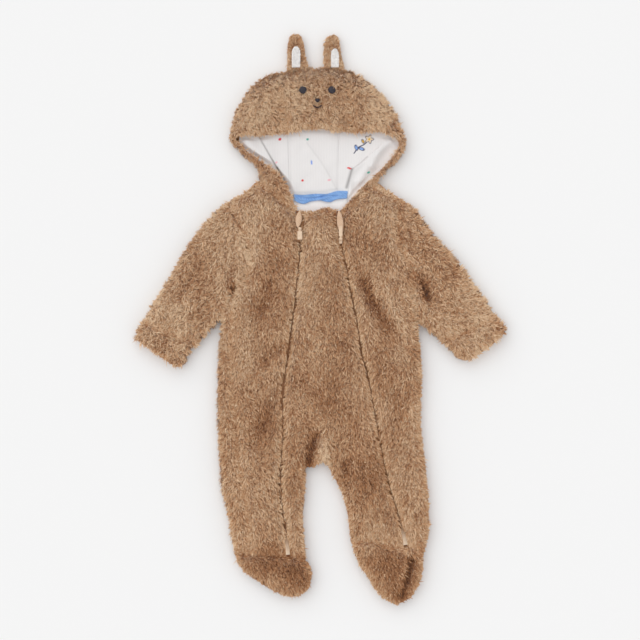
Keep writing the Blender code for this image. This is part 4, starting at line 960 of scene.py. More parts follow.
# Locks of pile: each is a blade of three points along a bent line, from the cloth to the height of the tips.
# Its way is cos(lean) of the normal plus sin(lean) of the comb, more upright at its root and flatter at its
# tip, and tips are drawn towards the middle of their clump. A closeness has a column each for zips, seams and
# edges.
def growPile(name, tips, cloth, normal, faces, tone, ways, closeness, finish, look, seed):
    rng = np.random.default_rng(seed)
    across = crossOf(tips, faces) / 2
    area = np.linalg.norm(across, axis=1)
    weight = area * np.where(across[:, 2] < -look["downward"] * area, look["underShare"], 1)
    weight = weight * (1 + look["seamMore"] * closeness[faces, 1].mean(1))
    count = int(weight.sum() * look["perArea"])
    chosen = faces[np.searchsorted(np.cumsum(weight) / weight.sum(), rng.random(count))]
    u, v = rng.random((2, count, 1))
    share = np.stack([(1 - u) * (1 - v), u * (1 - v), u * v, (1 - u) * v], 1)

    def blendOf(values):
        return (values[chosen] * share).sum(1)

    root, top, up = blendOf(cloth), blendOf(tips), blendOf(normal)
    up /= np.linalg.norm(up, axis=1)[:, None]
    reach = np.linalg.norm(top - root, axis=1)
    bent = look["clumpBend"] * np.sin(root[:, 1::-1] / look["clump"] * 1.7)
    cell = np.floor(root[:, :2] / look["clump"] + bent)
    groups, member = np.unique(cell, axis=0, return_inverse=True)
    member = member.reshape(-1)
    stray = rng.uniform(-look["clumpSpread"], look["clumpSpread"], groups.shape)
    centre = (groups + 0.5 + stray) * look["clump"]
    groupTurn = rng.normal(0, 1, len(groups))[member]
    groupTone = rng.normal(0, 1, len(groups))[member]
    comb = blendOf(ways)
    turn = np.radians(look["clumpTurn"] * groupTurn + look["turnSpread"] * rng.normal(0, 1, count))
    comb = np.stack([comb[:, 0] * np.cos(turn) - comb[:, 1] * np.sin(turn),
                     comb[:, 0] * np.sin(turn) + comb[:, 1] * np.cos(turn), 0 * turn], 1)
    comb = comb + look["combSpread"] * rng.normal(0, 1, (count, 3))
    comb -= up * (comb * up).sum(1)[:, None]
    comb /= np.maximum(np.linalg.norm(comb, axis=1), 1e-6)[:, None]
    lean = look["lean"] + look["leanSpread"] * rng.normal(0, 1, count) + look["clumpLean"] * groupTone
    near = blendOf(closeness)
    lean += near[:, :2] @ (look["zipPress"], look["seamPress"])
    lean = np.radians(np.clip(lean, *look["leanLimits"])) * (0.5 + 0.5 * np.abs(up[:, 2]))
    length = np.minimum(reach / np.cos(lean), 2 * reach + 2) * rng.uniform(*look["lengths"], count)
    length *= 1 + (look["clumpLength"] + look["tuft"] * near[:, 2]) * np.clip(groupTurn, -1.2, 1.2)
    lower, upper = (up * np.cos(lean + bend)[:, None] + comb * np.sin(lean + bend)[:, None]
                    for bend in (-look["bend"], look["bend"]))
    mid = root + lower * (length * 0.5)[:, None]
    tip = mid + upper * (length * 0.5)[:, None]
    tip[:, :2] += look["gather"] * np.clip(centre[member] - root[:, :2], -3, 3)
    stopAtZips(mid, root)
    stopAtZips(tip, root)
    side = np.cross(tip - root, up)
    side /= np.maximum(np.linalg.norm(side, axis=1), 1e-6)[:, None]
    half = (look["width"] / 2 * rng.uniform(*look["widths"], count))[:, None] * side
    foot = look["rootWidth"] * half
    points = np.stack([root - foot, root + foot, mid - half, mid + half, tip], 1)
    points[..., 2] = np.maximum(points[..., 2], 0.05)
    # Lock tones: random for clump and lock; painted light on steep sides and at the tip, painted shade at the
    # root
    own = blendOf(tone[:, None])[:, 0] + look["clumpTone"] * groupTone
    own += look["lockTone"] * rng.normal(0, 1, count) + look["sideLight"] * (1 - np.abs(up[:, 2]))
    low = own - look["rootShade"] * np.clip(up[:, 2], 0.2, 1)
    tones = np.clip(np.stack([low, low, own, own, own + look["tipLight"]], 1), 0, 1)
    first = np.arange(count)[:, None] * 5
    print(f"{name}: {count} locks")
    return addMesh(name, points.reshape(-1, 3), [first + (0, 1, 3, 2), first + (2, 3, 4)], finish,
                   values={"tone": tones.ravel()}, uv=cellsOf(count))


# A plush piece: the cloth, moved in from the height of the tips along its normals, and its pile
def plushPiece(node, patches, edges, way=-90, finish=plush, look=pile, toneAt=toneAndShadeOf, seed=1):
    tips, inner, faces = joinPatches(patches)
    normal = pointNormals(tips, faces)
    free = np.clip((normal[:, 2] - look["pressedAt"]) / (look["freeAt"] - look["pressedAt"]), 0, 1)
    depth = look["depth"] * (look["under"] + (1 - look["under"]) * free)
    depth = np.minimum(depth, 0.5 * np.linalg.norm(tips - inner, axis=1))
    inwards = normal * depth[:, None]
    inwards[:, :2] *= np.clip(nearest(tips[:, :2], [creaseLeft, creaseRight]) / 12, 0.1, 1)[:, None]
    cloth = tips - inwards
    cloth[:, 2] = np.maximum(cloth[:, 2], 0.1)
    low = inner.copy()
    low[:, :2] += (cloth - tips)[:, :2]
    fromEdge = nearest(tips[:, :2], edges)
    # Painted light on the pile near an edge; the cloth under it is painted darker, as shade under the locks
    tone = toneAt(tips[:, :2]) + toneAndShadeLook["edge"] * np.exp(-(fromEdge / toneAndShadeLook["edgeWidth"]) ** 2)
    clothShadeTone = tone - 0.1 - 0.12 * (np.abs(normal[:, 2]) < 0.8)        # darker where few locks cover it
    base = addWall(node + "_cloth", cloth, low, faces, finish, tone=np.clip(clothShadeTone, 0, 1))
    ways = combOf(tips[:, :2], way, edges)
    lines = ([zipLineLeft, zipLineRight], [*seamLines, creaseLeft, creaseRight], edges)
    closeness = np.stack([np.clip(1 - nearest(tips[:, :2], some) / look["besideReach"], 0, 1)
                          for some in lines], 1)
    fur = growPile(node + "_pile", tips, cloth, normal, faces, tone, ways, closeness, finish, look, seed)
    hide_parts(node)
    return base


# Where a zone's pile turns outwards
def edgesOf(zone):
    return [*zone["outlines"], *zone["rims"]]


trunkEdges = edgesOf(trunk)


# The plush panels

def makeFrontLeft():
    top = joined(along(shoulderLeft, (0, 0.12, 0.5, 1)), neckFrontLeft)
    left = np.vstack([armBodyLeft[:armholeCells], seamFront])
    top[0] = left[0]
    grid = patch(top, ankles["frontLeft"], left, edgeZips["left"][0])
    plushPiece("front_left", [frontWall(grid, trunk)], trunkEdges, seed=21)


def makeFrontRight():
    top = joined(neckFrontRight, along(shoulderRight, (0, 0.5, 0.88, 1)))
    top[-1] = edgeRight[0]
    grid = patch(top, ankles["frontRight"], edgeZips["right"][1], edgeRight)
    plushPiece("front_right", [frontWall(grid, trunk)], trunkEdges, seed=22)


# Between the zips, forked at the crotch
def makeFrontCentre():
    left, right = edgeZips["left"][1], edgeZips["right"][0]
    low = joined(frontForkLeft, along(crotch, evenly(3)), frontForkRight)
    top = along(neckline, shares(low))
    grids = [patch(top, low, left[:crotchRow + 1], right[:crotchRow + 1]),
             patch(frontForkLeft, ankles["centreLeft"], left[crotchRow:], legLeft),
             patch(frontForkRight, ankles["centreRight"], legRight, right[crotchRow:])]
    plushPiece("front_centre", [frontWall(grid, trunk) for grid in grids], trunkEdges,
               seed=23)


# The back, forked at the crotch and folded round the left side to the side seam
def makeBack():
    neck = np.vstack([neckBack[:4], neckBack[5:9:2], neckBack[9:]])
    top = joined(along(shoulderLeft, (0, 0.17, 0.6, 1)), neck, along(shoulderRight, (0, 0.4, 0.83, 1)))
    top[0], top[-1] = edgeLeft[0], edgeRight[0]
    low = joined(backForkLeft, along(crotch, evenly(3)), backForkRight)
    body = patch(top, low, edgeLeft[:crotchRow + 1], edgeRight[:crotchRow + 1])
    legs = [patch(backForkLeft, ankles["backLeft"], edgeLeft[crotchRow:], legLeft),
            patch(backForkRight, ankles["backRight"], legRight, edgeRight[crotchRow:])]
    fold = edgeLeft[armholeCells:]
    depth = np.minimum(foldedWall, 0.55 * span(fold, seamStrip))
    strip = patch(along([fold[0], seamStrip[0]], stripCols), ankles["strip"], fold, seamStrip)
    front = frontWall(strip, trunk, pulledIn(strip, slitInside(strip, depth)))
    slit = slitInside(np.vstack([body[armholeCells:, :4], legs[0][1:, :4]]), depth)
    slit = np.vstack([edgeLeft[:armholeCells], slit])
    under = [backWall(body, trunk, pulledIn(body, slit[:crotchRow + 1])),
             backWall(legs[0], trunk, pulledIn(legs[0], slit[crotchRow:])),
             backWall(legs[1], trunk)]
    bodyRows = crotchRow - armholeCells + 1
    folds = [foldBetween(rowsOf(front, 0, bodyRows), 0, rowsOf(under[0], armholeCells), 0),
             foldBetween(rowsOf(front, bodyRows - 1), 0, under[1], 0)]
    plushPiece("back", [front, *under, *folds], trunkEdges, seed=24)


# A folded tube, open at the armhole and the cuff, with a hem near its end
def makeSleeve(side):
    left = side == "left"
    arm = armSleeveLeft if left else armSleeveRight
    crease = arm[armholeCells:]
    toHem = sleeveCells - len(crease) + 1
    under = np.r_[hemAtUnder * evenly(toHem), hemAtUnder + (1 - hemAtUnder) * np.array(hemRows)]
    lower = joined(crease, along(sleeveUnderLeft if left else sleeveUnderRight, under))
    upper = np.r_[hemAtTop * evenly(toHem + len(crease) - 1), hemAtTop + (1 - hemAtTop) * np.array(hemRows)]
    upper = along(sleeveTopLeft if left else sleeveTopRight, upper)
    cuff = along(cuffLeft if left else cuffRight, armholeAt)
    grid = patch(arm[:armholeCells + 1], cuff, upper, lower, sleeveFade)
    depth = np.full(len(grid), foldedWall)
    depth[0] = seamWall
    slit = pulledIn(grid, slitInside(grid, depth), slitInside(grid[:, ::-1], depth))
    front = frontWall(grid, sleeveZones[side], slit)
    back = backWall(grid, sleeveZones[side], slit)
    folds = [foldBetween(front, 0, back, 0), foldBetween(front, -1, back, -1)]
    plushPiece(f"sleeve_{side}", [front, back, *folds],
               edgesOf(sleeveZones[side]), way=-128 if left else -52, look=tuftedPile, seed=25)


# The top of the foot, from the ankle seam to the toe, and the sole under it
def makeFoot(side):
    toe, first, last, over, under = {
        "left": (toeLeft, heelLeft, instepLeft,
                 np.vstack([ankles["strip"][:-1], ankles["frontLeft"], ankles["centreLeft"]]),
                 ankles["backLeft"]),
        "right": (toeRight, instepRight, heelRight,
                  np.vstack([ankles["centreRight"], ankles["frontRight"]]), ankles["backRight"]),
    }[side]
    for name, ankle, layer, on in ((f"foot_top_{side}", over, frontWall, [f"sole_{side}"]),
                                   (f"sole_{side}", under, backWall, [])):
        top = ankle - (0, 2 * ankleGap)
        at = shares(top)
        grid = patch(top, along(toe, at), along(first, footRows), along(last, footRows))
        plushPiece(name, [layer(grid, trunk)], trunkEdges, seed=26)


# A side of the hood: from the opening's rim over the outline, then under to the back seam
def makeHoodSide(side):
    tables, neck, neckUnder, seam = {
        "left": ((rimLowLeft, rimHighLeft, hoodOutLeft, hoodCrownLeft), neckHoodLeft[::-1],
                 neckHoodUnder[:4], 0),
        "right": ((rimLowRight, rimHighRight, hoodOutRight, hoodCrownRight), neckHoodRight,
                  neckHoodUnder[:-5:-1], 1),
    }[side]
    rim, out = (joined(along(first, evenly(tipCells)), along(then, evenly(crownCells)))
                for first, then in (tables[:2], tables[2:]))
    seam, underSeam = hoodSeams[side][seam], underSeams[side][seam]
    cells = tipCells + crownCells
    longSeam = np.interp(np.arange(cells + 1), (0, 4, 7, 10, cells), np.arange(5))
    longSeam = np.stack([np.interp(longSeam, np.arange(5), underSeam[:5, axis]) for axis in (0, 1)], -1)
    shortSeam = placedOn(underSeam[:3:-1], span(underSeam[5], underSeam[4]) * np.array(underCols))
    over = patch(neck, seam, rim, out)
    under = patch(neckUnder, shortSeam, out, longSeam)
    depth = np.minimum(foldedWall, 0.55 * span(over[:, 0], over[:, -1]))
    depth[0] = seamWall
    depthUnder = np.minimum(depth, 0.55 * span(under[:, 0], under[:, -1]))
    front = frontWall(over, hood, pulledIn(over, last=alongRows(over[:, ::-1], depth)))
    back = backWall(under, hood, pulledIn(under, alongRows(under, depthUnder)))
    plushPiece(f"hood_side_{side}", [front, back, foldBetween(front, -1, back, 0)],
               edgesOf(hood), look=curlyPile, seed=27)


# The hood's middle panel: from the rim over the crown, then under to the back of the neck
def makeHoodCentre():
    rim = along(rimHigh, evenly(6))
    out = along(hoodCrown, evenly(6))
    over = patch(hoodSeams["left"][1], hoodSeams["right"][0], rim, out)
    under = patch(underSeams["left"][1][::-1], underSeams["right"][0][::-1], out, neckHoodUnder[3:10])
    depth = np.full(len(over), foldedWall)
    front = frontWall(over, hood, pulledIn(over, last=alongRows(over[:, ::-1], depth)))
    back = backWall(under, hood, pulledIn(under, alongRows(under, depth)))
    plushPiece("hood_centre", [front, back, foldBetween(front, -1, back, 0)],
               edgesOf(hood), look=curlyPile, seed=28)


# Ears, stuffed a little, with a white insert on each
earPile = dict(curlyPile, depth=3.4, perArea=1.7)
insertPile = dict(pile, depth=1.2, under=1.0, perArea=2.4, underShare=0.0, width=0.7, clump=2.4, lean=35)
earTuck = 6.0       # how far the ear's cloth goes on under the crown's pile
# How far the insert goes down over the crown, and the share of its height where its arch begins
earArch = dict(below=5.5, start=0.62)


def makeEar(side):
    ear = ears[side]
    cols, rows = (0, 0.12, 0.35, 0.65, 0.88, 1), (0, 0.08, 0.22, 0.45, 0.7, 1)
    grid = finer(patch(along(ear["top"], cols), along(ear["low"], cols) - (0, earTuck),
                       along(ear["left"], rows), along(ear["right"], rows)), (4, 4))
    outline = [ear["top"], ear["left"], ear["right"]]

    def top(xy):
        low = earMiddle + earEdge
        return low + (earTop - low) * dome(nearest(xy, outline), earRound)

    low = (earMiddle - earEdge) * (1 - dome(nearest(grid, outline), earRound))
    front, back = at(grid, top(grid)), at(grid, low)
    middle = at(grid, (front[..., 2] + back[..., 2]) / 2)
    rim = np.concatenate([grid[::-1, 0], grid[0, 1:], grid[1:, -1]])
    rimTop = np.concatenate([front[::-1, 0], front[0, 1:], front[1:, -1]])
    rimLow = np.concatenate([back[::-1, 0], back[0, 1:], back[1:, -1]])
    rimMiddle = at(rim + (middle[..., :2].mean((0, 1)) - rim) * 0.3, (rimTop[:, 2] + rimLow[:, 2]) / 2)
    plushPiece(f"ear_{side}", [(front, middle), (back, middle), (np.stack([rimTop, rimLow], 1),
                                                                 np.stack([rimMiddle, rimMiddle], 1))],
               [*outline, ear["low"]], way=90, look=earPile, seed=31)
    (x0, x1), (y0, y1) = ear["insert"]["x"], ear["insert"]["y"]
    y0 -= earArch["below"]
    across = np.linspace(-1, 1, 13)
    up = evenly(18)[:, None]
    arch = np.sqrt(np.clip(1 - np.clip((up - earArch["start"]) / (1.02 - earArch["start"]), 0, 1) ** 2, 0, 1))
    insert = np.stack([(x0 + x1) / 2 + across * (x1 - x0) / 2 * arch * (0.92 + 0.08 * up),
                       y0 + (y1 - y0) * up + 0 * across], -1)
    z = np.maximum(top(insert), earTop - 1.5) + layerGap
    plushPiece(f"ear_insert_{side}", [(at(insert, z + insertThick), at(insert, z))],
               [insert[0] - (0, 60)], way=90, finish=whitePlush, look=insertPile,
               toneAt=lambda xy: 0.75 + 0.1 * waves(xy, 9, 6, 14), seed=32)


# The hood's lining: jersey with soft folds and a scattered print

# Folds: the line, how far it rises, its width, and how much further one side of it stands
liningCreases = [
    dict(line=[(-84, 248), (-67, 219), (-58, 204), (-49.5, 190), (-43, 178)], rise=0.8, width=5.0, step=3.4),
    dict(line=[(72, 226), (53, 209), (43.5, 202), (40, 185), (38.5, 170), (34.5, 148)], rise=1.0, width=5.0,
         step=3.6),
    dict(line=[(96, 240), (80, 226), (70, 206)], rise=1.6, width=5.0, step=0),
    dict(line=[(60, 246), (58, 228), (52, 214)], rise=1.2, width=6.0, step=0),
    dict(line=[(-104, 236), (-88, 226), (-76, 212)], rise=1.4, width=5.0, step=0),
    dict(line=[(-18, 238), (4, 208), (22, 176)], rise=0.9, width=4.0, step=0),
    dict(line=[(-30, 246), (-34, 214), (-30, 186)], rise=0.8, width=7.0, step=0),
]

# Marks of the print: x, y, length, width, tilt, colour
printMarks = [
    (-54.4, 243.0, 4.4, 3.6, 30, "#DF2F3E"), (-16.9, 242.9, 3.6, 3.0, 0, "#45AE9E"),
    (-59.0, 211.2, 3.6, 2.8, 30, "#F3B9C0"), (-11.5, 211.6, 6.6, 2.4, -80, "#7FA0E6"),
    (-23.8, 187.1, 3.4, 3.2, 0, "#E03A38"), (12.4, 187.8, 5.0, 2.6, 0, "#F0B4BC"),
    (39.6, 203.7, 7.0, 2.3, -14, "#E2373A"), (65.5, 197.8, 4.6, 2.8, 25, "#5DB5A4"),
    (-34.0, 151.7, 3.4, 2.8, 0, "#D9404A"),
]
# A sprig printed on the right side: a stem, leaves along it and a blossom at its end
sprig = dict(stem=[(46, 224), (52, 232), (60, 236), (66, 243)], width=0.9, ink="#30365A",
             leaves=[(49, 231.5, 7.0, 3.6, 110, "#8FB2EA"), (56, 230, 7.5, 3.6, -20, "#8FB2EA"),
                     (58, 240, 5.5, 3.0, 120, "#E4B53F")],
             at=(66.5, 243.0), radius=6.2, petals=5, petal="#F1DCC0", eye="#E4B53F")
jerseyGround = "#EBE8E7"
liningTuck = 5.0
flapOver = 14.0         # how far the right side hangs over the tape's end and the yoke


# The side of a curve that each point is on: 1 on the left of someone who walks along it, -1 on the right
def sideOf(xy, line):
    rel, run, far = toStretches(xy, line)
    cross = run[:, 0] * rel[..., 1] - run[:, 1] * rel[..., 0]
    return np.sign(np.take_along_axis(cross, far.argmin(-1)[..., None], -1)[..., 0])


# The hood's opening as a closed line
def opening():
    return np.vstack([smooth(table, 5) for table in (
        rimLowLeft, rimHighLeft, rimHigh, rimHighRight[::-1], rimLowRight[::-1], neckline[::-1])])


# How far the lining stands up, only in the opening and away from its rims: the sum of ridges
# exp(-(d / width)^2), and on one side of a fold's line a step that fades with twice the width
def liningLift(xy):
    free = np.clip((nearest(xy, hood["rims"]) - 2) / 4, 0, 1) * inside(xy, opening())
    lift = rises(xy, liningFolds) + 0.25 * waves(xy, 41, 14, 34)
    for fold in liningCreases:
        d = nearest(xy, [fold["line"]])
        lift += fold["rise"] * np.exp(-(d / fold["width"]) ** 2)
        s = d * sideOf(xy, smooth(fold["line"], 5)) * np.sign(fold["step"])
        lift += abs(fold["step"]) / (1 + np.exp(-s / 0.5)) * np.exp(-(d / (2.2 * fold["width"])) ** 2)
    return np.clip(lift, -0.2, 6.5) * free


# Where folds of the lining keep the light out, painted shade; below 0, painted light where the lining sits
# low by the
# rims and the yoke: the line, how much darker (paler below 0), half width
liningShades = [
    ([(-84, 249), (-67, 219), (-58, 204)], 0.4, 1.3), ([(-58, 204), (-49.5, 190), (-42, 177)], 0.62, 1.7),
    ([(64, 219), (50, 207), (43, 202)], 0.22, 1.2), ([(43, 202), (39.5, 190), (36, 178)], 0.5, 2.2),
    ([(37.5, 172), (37, 160), (33.5, 148)], 0.3, 1.0), ([(-18, 238), (4, 208), (22, 176)], 0.1, 1.1),
    ([(-43.8, 246), (-42.3, 180)], 0.1, 0.7), ([(-41, 246), (-39.6, 180)], 0.08, 0.7),
    ([(23.5, 250), (22, 176)], 0.1, 0.7), ([(-20, 254), (20, 253)], 0.14, 3.0),
    ([(-35, 171), (0, 172.5), (22, 175)], 0.12, 2.0), ([(-32, 153), (32, 157)], -0.13, 7.0),
    ([(102, 238), (86, 211), (60, 187), (44, 168)], -0.12, 6.0),
]


# How far each point is from a tilted ellipse's middle, 1 on its rim
def ellipseAt(xy, x, y, length, width, tilt):
    run, a = xy - (x, y), np.radians(tilt)
    return np.hypot((run[..., 0] * np.cos(a) + run[..., 1] * np.sin(a)) / length * 2,
                    (run[..., 1] * np.cos(a) - run[..., 0] * np.sin(a)) / width * 2)


# The print's colour at each point: a mark is an ellipse with a soft edge, the blossom a ring of petals; then
# the painted shade and light of the lining's folds
def printAndShadeOf(xy):
    colour = np.broadcast_to(linear(jerseyGround), (*xy.shape[:-1], 3)).copy()

    def paint(share, code):
        nonlocal colour
        colour += np.clip(share, 0, 1)[..., None] * (linear(code) - colour)

    for *shape, code in printMarks:
        paint((1.15 - ellipseAt(xy, *shape)) / 0.4, code)
    paint((sprig["width"] - nearest(xy, [sprig["stem"]])) / 0.4, sprig["ink"])
    for *shape, code in sprig["leaves"]:
        far = ellipseAt(xy, *shape)
        paint((1.4 - far) / 0.3, sprig["ink"])
        paint((0.95 - far) / 0.3, code)
    run = (xy - sprig["at"]) / sprig["radius"]
    far, turn = np.hypot(*np.moveaxis(run, -1, 0)), np.arctan2(run[..., 1], run[..., 0])
    edge = 0.78 + 0.2 * np.cos(sprig["petals"] * turn)
    for size, soft, code in ((edge + 0.12, 0.1, sprig["ink"]), (edge - 0.06, 0.1, sprig["petal"]),
                             (0.3, 0.1, sprig["eye"])):
        paint((size - far) / soft, code)
    # Painted shade along the lining's folds, and painted light where the change is below 0
    for line, dark, wide in liningShades:
        colour *= 1 - dark * np.exp(-(nearest(xy, [line]) / wide) ** 2)[..., None]
    return colour


# At the neck the lining's ends go on under the yoke by this much, but the right one's lies over it from x
# onwards
liningEnd = dict(below=1.4, above=3.4, x=36, y=172, run=8)
jerseyThick = 1.4


# A sheet of jersey from a grid: its upper side at these heights, its lower side one thickness below
def jerseyPiece(node, grid):
    z = middle - layerGap / 2 + liningLift(grid)
    if node != "back_neck_lining":
        over = np.clip((grid[..., 0] - liningEnd["x"]) / 2, 0, 1)
        step = liningEnd["above"] * over - liningEnd["below"] * (1 - over)
        z += np.clip((liningEnd["y"] - grid[..., 1]) / liningEnd["run"], 0, 1) * step
    points, low, faces = joinPatches([(at(grid, z), at(grid, z - jerseyThick))])
    made = addWall(node + "_cloth", points, low, faces, jersey, colours=printAndShadeOf(points[:, :2]))
    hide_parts(node)


def makeLining():
    cols, rows = evenly(8), evenly(10)
    left = patch(along(flapTopLeft, cols), along(flapEndLeft, cols),
                 along(flapOutLeft, rows), along(liningSeamLeft, rows))
    centre = patch(along(liningTop, evenly(5)), along(liningBottom, evenly(5)),
                   along(liningSeamLeft, rows), along(liningSeamRight, rows))
    right = patch(along(flapTopRight, cols), along(flapEndRight, cols),
                  along(liningSeamRight, rows), along(flapOutRight, rows))
    yoke = patch(along(yokeTop, evenly(6)), along(yokeBottom, evenly(6)),
                 along(yokeSides[0], evenly(2)), along(yokeSides[1], evenly(2)))
    for grid in (left, centre, right):
        grid[-1, :, 1] -= liningTuck
    right[-1, :, 1] -= flapOver * np.clip((right[-1, :, 0] - 30) / 8, 0, 1)
    right[-1, :, 0] -= 5 * np.clip((right[-1, :, 0] - 36) / 6, 0, 1)
    jerseyPiece("hood_lining_left", finer(left, (9, 9)))
    jerseyPiece("hood_lining_centre", finer(centre, (10, 14)))
    jerseyPiece("hood_lining_right", finer(right, (10, 12)))
    jerseyPiece("back_neck_lining", finer(yoke, (14, 14)))


# A crease along the tape at y, which sways, as far as x
tapeCrease = dict(depth=1.6, width=0.9, y=164.6, sway=1.6, x=24)


# The tape over the neck's seam: z rises and falls along it as a sine, with small crumples across
def makeNeckTape():
    tape = patch(along(tapeTop, evenly(10)), along(tapeBottom, evenly(10)),
                 along(tapeSides[0], evenly(1)), along(tapeSides[1], evenly(1)))
    tape = finer(tape, (16, 8))
    z = middle + tapeThick + tapeWave * (1 + np.sin(tape[..., 0] / tapeWaveLength * 2 * np.pi))
    z = z + 0.5 * waves(tape * (0.3, 1), 51, 3, 7)
    x, y = tape[..., 0], tape[..., 1] - tapeCrease["y"] - tapeCrease["sway"] * np.sin(tape[..., 0] / 9)
    z -= tapeCrease["depth"] * np.exp(-(y / tapeCrease["width"]) ** 2) * (x < tapeCrease["x"])
    points, low, faces = joinPatches([(at(tape, z), at(tape, np.full(z.shape, middle + layerGap / 2)))])
    made = addWall("neck_tape_cloth", points, low, faces, blueTwill)
    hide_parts("neck_tape")


# A zip: its tape, and two rows of teeth that mesh along the middle. Its bare end at the ankle is paler and
# rises more; the rest is painted darker, as shade in the channel under the pile.
zipTeeth = dict(pitch=1.8, size=(2.0, 1.0, 0.9), offset=0.7)
zipRise = dict(tooth=0.5, more=0.8, tapeBelow=0.8, toothBelow=0.55, tone=0.8)
boxFaces = np.array([(0, 2, 3, 1), (4, 5, 7, 6), (0, 1, 5, 4), (2, 6, 7, 3), (0, 4, 6, 2), (1, 3, 7, 5)])


def makeZip(side):
    line = (zipLeft if side == "left" else zipRight).copy()
    line[-1] += (0, 2 * ankleGap)
    line = smooth(line, 8)
    grid = np.stack([beside(line, offset) for offset in np.linspace(-zipHalf, zipHalf, 5)], 1)
    line = grid[:, 2]

    def bareAt(y):
        return np.clip(1 - (y - line[-1, 1]) / zipEndLength, 0, 1) ** 0.5

    def topAt(y):
        return middle + zipTop + zipRise["tooth"] + (zipEndRise + zipRise["more"]) * bareAt(y)

    top = topAt(grid[..., 1]) - zipRise["tapeBelow"]
    points, low, faces = joinPatches([(at(grid, top), at(grid, np.full(top.shape, middle + layerGap / 2)))])
    made = addWall(f"zip_{side}_tape", points, low, faces, zipTwill,
                   tone=zipRise["tone"] * bareAt(points[:, 1]))
    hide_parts(f"zip_{side}")
    run = np.r_[0, np.cumsum(span(line[:-1], line[1:]))]
    places = np.arange(2, run[-1] - 1, zipTeeth["pitch"] / 2)
    centre = placedOn(line, places)
    ahead = np.minimum(places + 0.5, run[-1])
    way = placedOn(line, ahead) - placedOn(line, ahead - 1)
    way /= np.linalg.norm(way, axis=1)[:, None]
    aside = np.column_stack([-way[:, 1], way[:, 0]])
    hand = np.where(np.arange(len(places)) % 2, 1, -1)[:, None]
    centre = centre + aside * hand * zipTeeth["offset"]
    corner = np.array([(a, b, c) for c in (-1, 1) for b in (-1, 1) for a in (-1, 1)]) / 2 * zipTeeth["size"]
    xy = centre[:, None] + corner[None, :, :1] * aside[:, None] + corner[None, :, 1:2] * way[:, None]
    z = topAt(centre[:, 1])[:, None] - zipRise["toothBelow"] + corner[None, :, 2]
    faces = (np.arange(len(places))[:, None, None] * 8 + boxFaces).reshape(-1, 4)
    addMesh(f"zip_{side}_teeth", np.concatenate([xy, z[..., None]], -1).reshape(-1, 3), [faces], zipNylon,
            values={"tone": np.repeat(zipRise["tone"] * bareAt(centre[:, 1]), 8)})


# A padded leaf over the zip's top: its half width is the sine of the way along it, pointed at both ends
def makeZipGuard(side):
    guard = zipGuards[side]
    t, across = np.linspace(0, 1, 33), np.linspace(-1, 1, 13)
    way = np.subtract(guard["end"], guard["start"])
    line = np.array(guard["start"]) + t[:, None] * way
    half = guard["width"] / 2 * (0.12 + 0.88 * np.sin(np.pi * t) ** 0.8)
    aside = np.array([-way[1], way[0]]) / np.hypot(*way)
    grid = line[:, None] + (half[:, None] * across)[..., None] * aside
    crown = np.sqrt(np.clip(1 - across ** 2, 0, 1)) * (0.35 + 0.65 * np.sin(np.pi * t)[:, None] ** 0.7)
    z = guardBottom + guardThick * (0.3 + 0.7 * crown)
    points, low, faces = joinPatches([(at(grid, z), at(grid, np.full(z.shape, guardBottom)))])
    made = addWall(f"zip_guard_{side}_cloth", points, low, faces, beigeTwill)
    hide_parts(f"zip_guard_{side}")


# The plain animal face sewn on the crown: two round eyes, a small nose and a short mouth
face = dict(
    eyes=dict(at=[(-23.0, 308.0), (16.0, 308.0)], radius=5.0),
    nose=dict(at=(-3.5, 294.0), width=8.0, height=5.0),
    mouth=dict(at=(-3.5, 287.5), half=5.5, drop=3.0, width=1.3),
    lift=0.6,
)


# Thread: a wall whose inner side is this far below its outer side
def stitched(name, xy, z, depth):
    points, low, faces = joinPatches([(at(xy, z), at(xy, z - depth))])
    addWall(name, points, low, faces, thread)


# A pad of thread: a disc in polar form, radius times `outline(angle)`, domed by (1 - r^2)
def threadPad(name, centre, outline, height=1.0):
    r, a = np.linspace(0, 1, 6)[:, None], np.linspace(0, 2 * np.pi, 33)
    xy = np.array(centre) + r[..., None] * outline(a)[None]
    z = heightOf(xy, hood) + face["lift"] + height * (1 - r ** 2)
    stitched(name, xy[:, ::-1], z[:, ::-1], height + 1.5)


def makeFace():
    radius = face["eyes"]["radius"]
    for side, centre in zip(("left", "right"), face["eyes"]["at"]):
        threadPad(f"eye_{side}", centre, lambda a: radius * np.stack([np.cos(a), np.sin(a)], -1))
    nose = face["nose"]
    threadPad("nose", nose["at"], lambda a: np.stack([
        nose["width"] / 2 * np.sign(np.cos(a)) * np.abs(np.cos(a)) ** 0.8 * (0.75 + 0.25 * np.sin(a)),
        nose["height"] / 2 * np.sign(np.sin(a)) * np.abs(np.sin(a)) ** 0.8], -1))
    mouth = face["mouth"]
    t = np.linspace(-1, 1, 25)
    x, y = mouth["at"]
    line = np.column_stack([x + mouth["half"] * t, y - mouth["drop"] * (1 - t ** 2)])
    grid = np.stack([beside(line, offset * mouth["width"] / 2) for offset in (-1, -0.5, 0, 0.5, 1)], 1)
    z = heightOf(grid, hood) + face["lift"] + 0.7 * np.array([0, 0.7, 1, 0.7, 0])
    stitched("mouth", grid, z, 2)


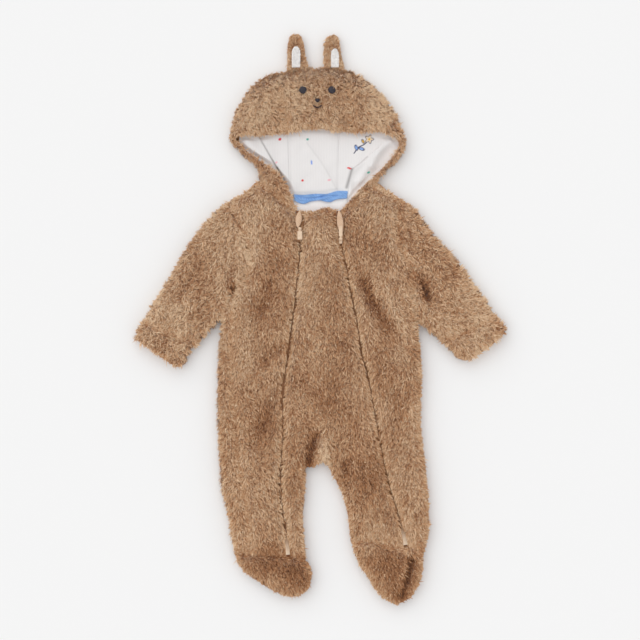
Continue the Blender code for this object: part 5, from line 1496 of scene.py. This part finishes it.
# Stage: a pale floor, a soft key light from the upper left, and the camera straight above
# The picture is this wide at this level over the floor
view = dict(width=864.0, level=14.0, height=2200.0, aim=(-0.1, -1.6))
studio = dict(key=1.15, softness=85, way=(-0.45, 0.5, 1.0), sky=0.71)


def makeStage():
    floor = bpy.data.meshes.new("floor")
    floor.from_pydata([(-4, -4, 0), (4, -4, 0), (4, 4, 0), (-4, 4, 0)], [], [(0, 1, 2, 3)])
    finish, _, _ = newMaterial("pale_floor", Base_Color=(*linear("#F4F4F4"), 1), Roughness=0.9,
                               Specular_IOR_Level=0.1)
    floor.materials.append(finish)
    addObject("floor", floor)
    light = bpy.data.lights.new("key", "SUN")
    light.energy, light.angle = studio["key"], np.radians(studio["softness"])
    lamp = addObject("key", light)
    lamp.rotation_euler = (-Vector(studio["way"])).to_track_quat("-Z", "Y").to_euler()
    world = bpy.data.worlds.new("studio")
    world.use_nodes = True
    sky = world.node_tree.nodes["Background"].inputs
    sky["Color"].default_value = (1, 1, 1, 1)
    sky["Strength"].default_value = studio["sky"]
    bpy.context.scene.world = world
    camera = bpy.data.cameras.new("camera")
    camera.sensor_width = 36
    camera.lens = camera.sensor_width * (view["height"] - view["level"]) / view["width"]
    camera.clip_end = 20
    camera = addObject("camera", camera)
    camera.location = (view["aim"][0] * mm, view["aim"][1] * mm, view["height"] * mm)
    bpy.context.scene.camera = camera
    bpy.context.scene.view_settings.view_transform = "Standard"


def main():
    makeStage()
    print("stage done")
    makeFrontLeft()
    makeFrontCentre()
    makeFrontRight()
    makeBack()
    print("trunk done")
    makeHoodCentre()
    for side in ("left", "right"):
        makeHoodSide(side)
        makeSleeve(side)
        makeFoot(side)
        makeEar(side)
    print("hood, sleeves, feet and ears done")
    makeLining()
    makeNeckTape()
    makeFace()
    for side in ("left", "right"):
        makeZip(side)
        makeZipGuard(side)
        for node in (f"slider_{side}", f"pull_tab_{side}"):
            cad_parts[node].material_slots[0].material = paintedMetal
    print("lining, tape, face and zips done")


main()
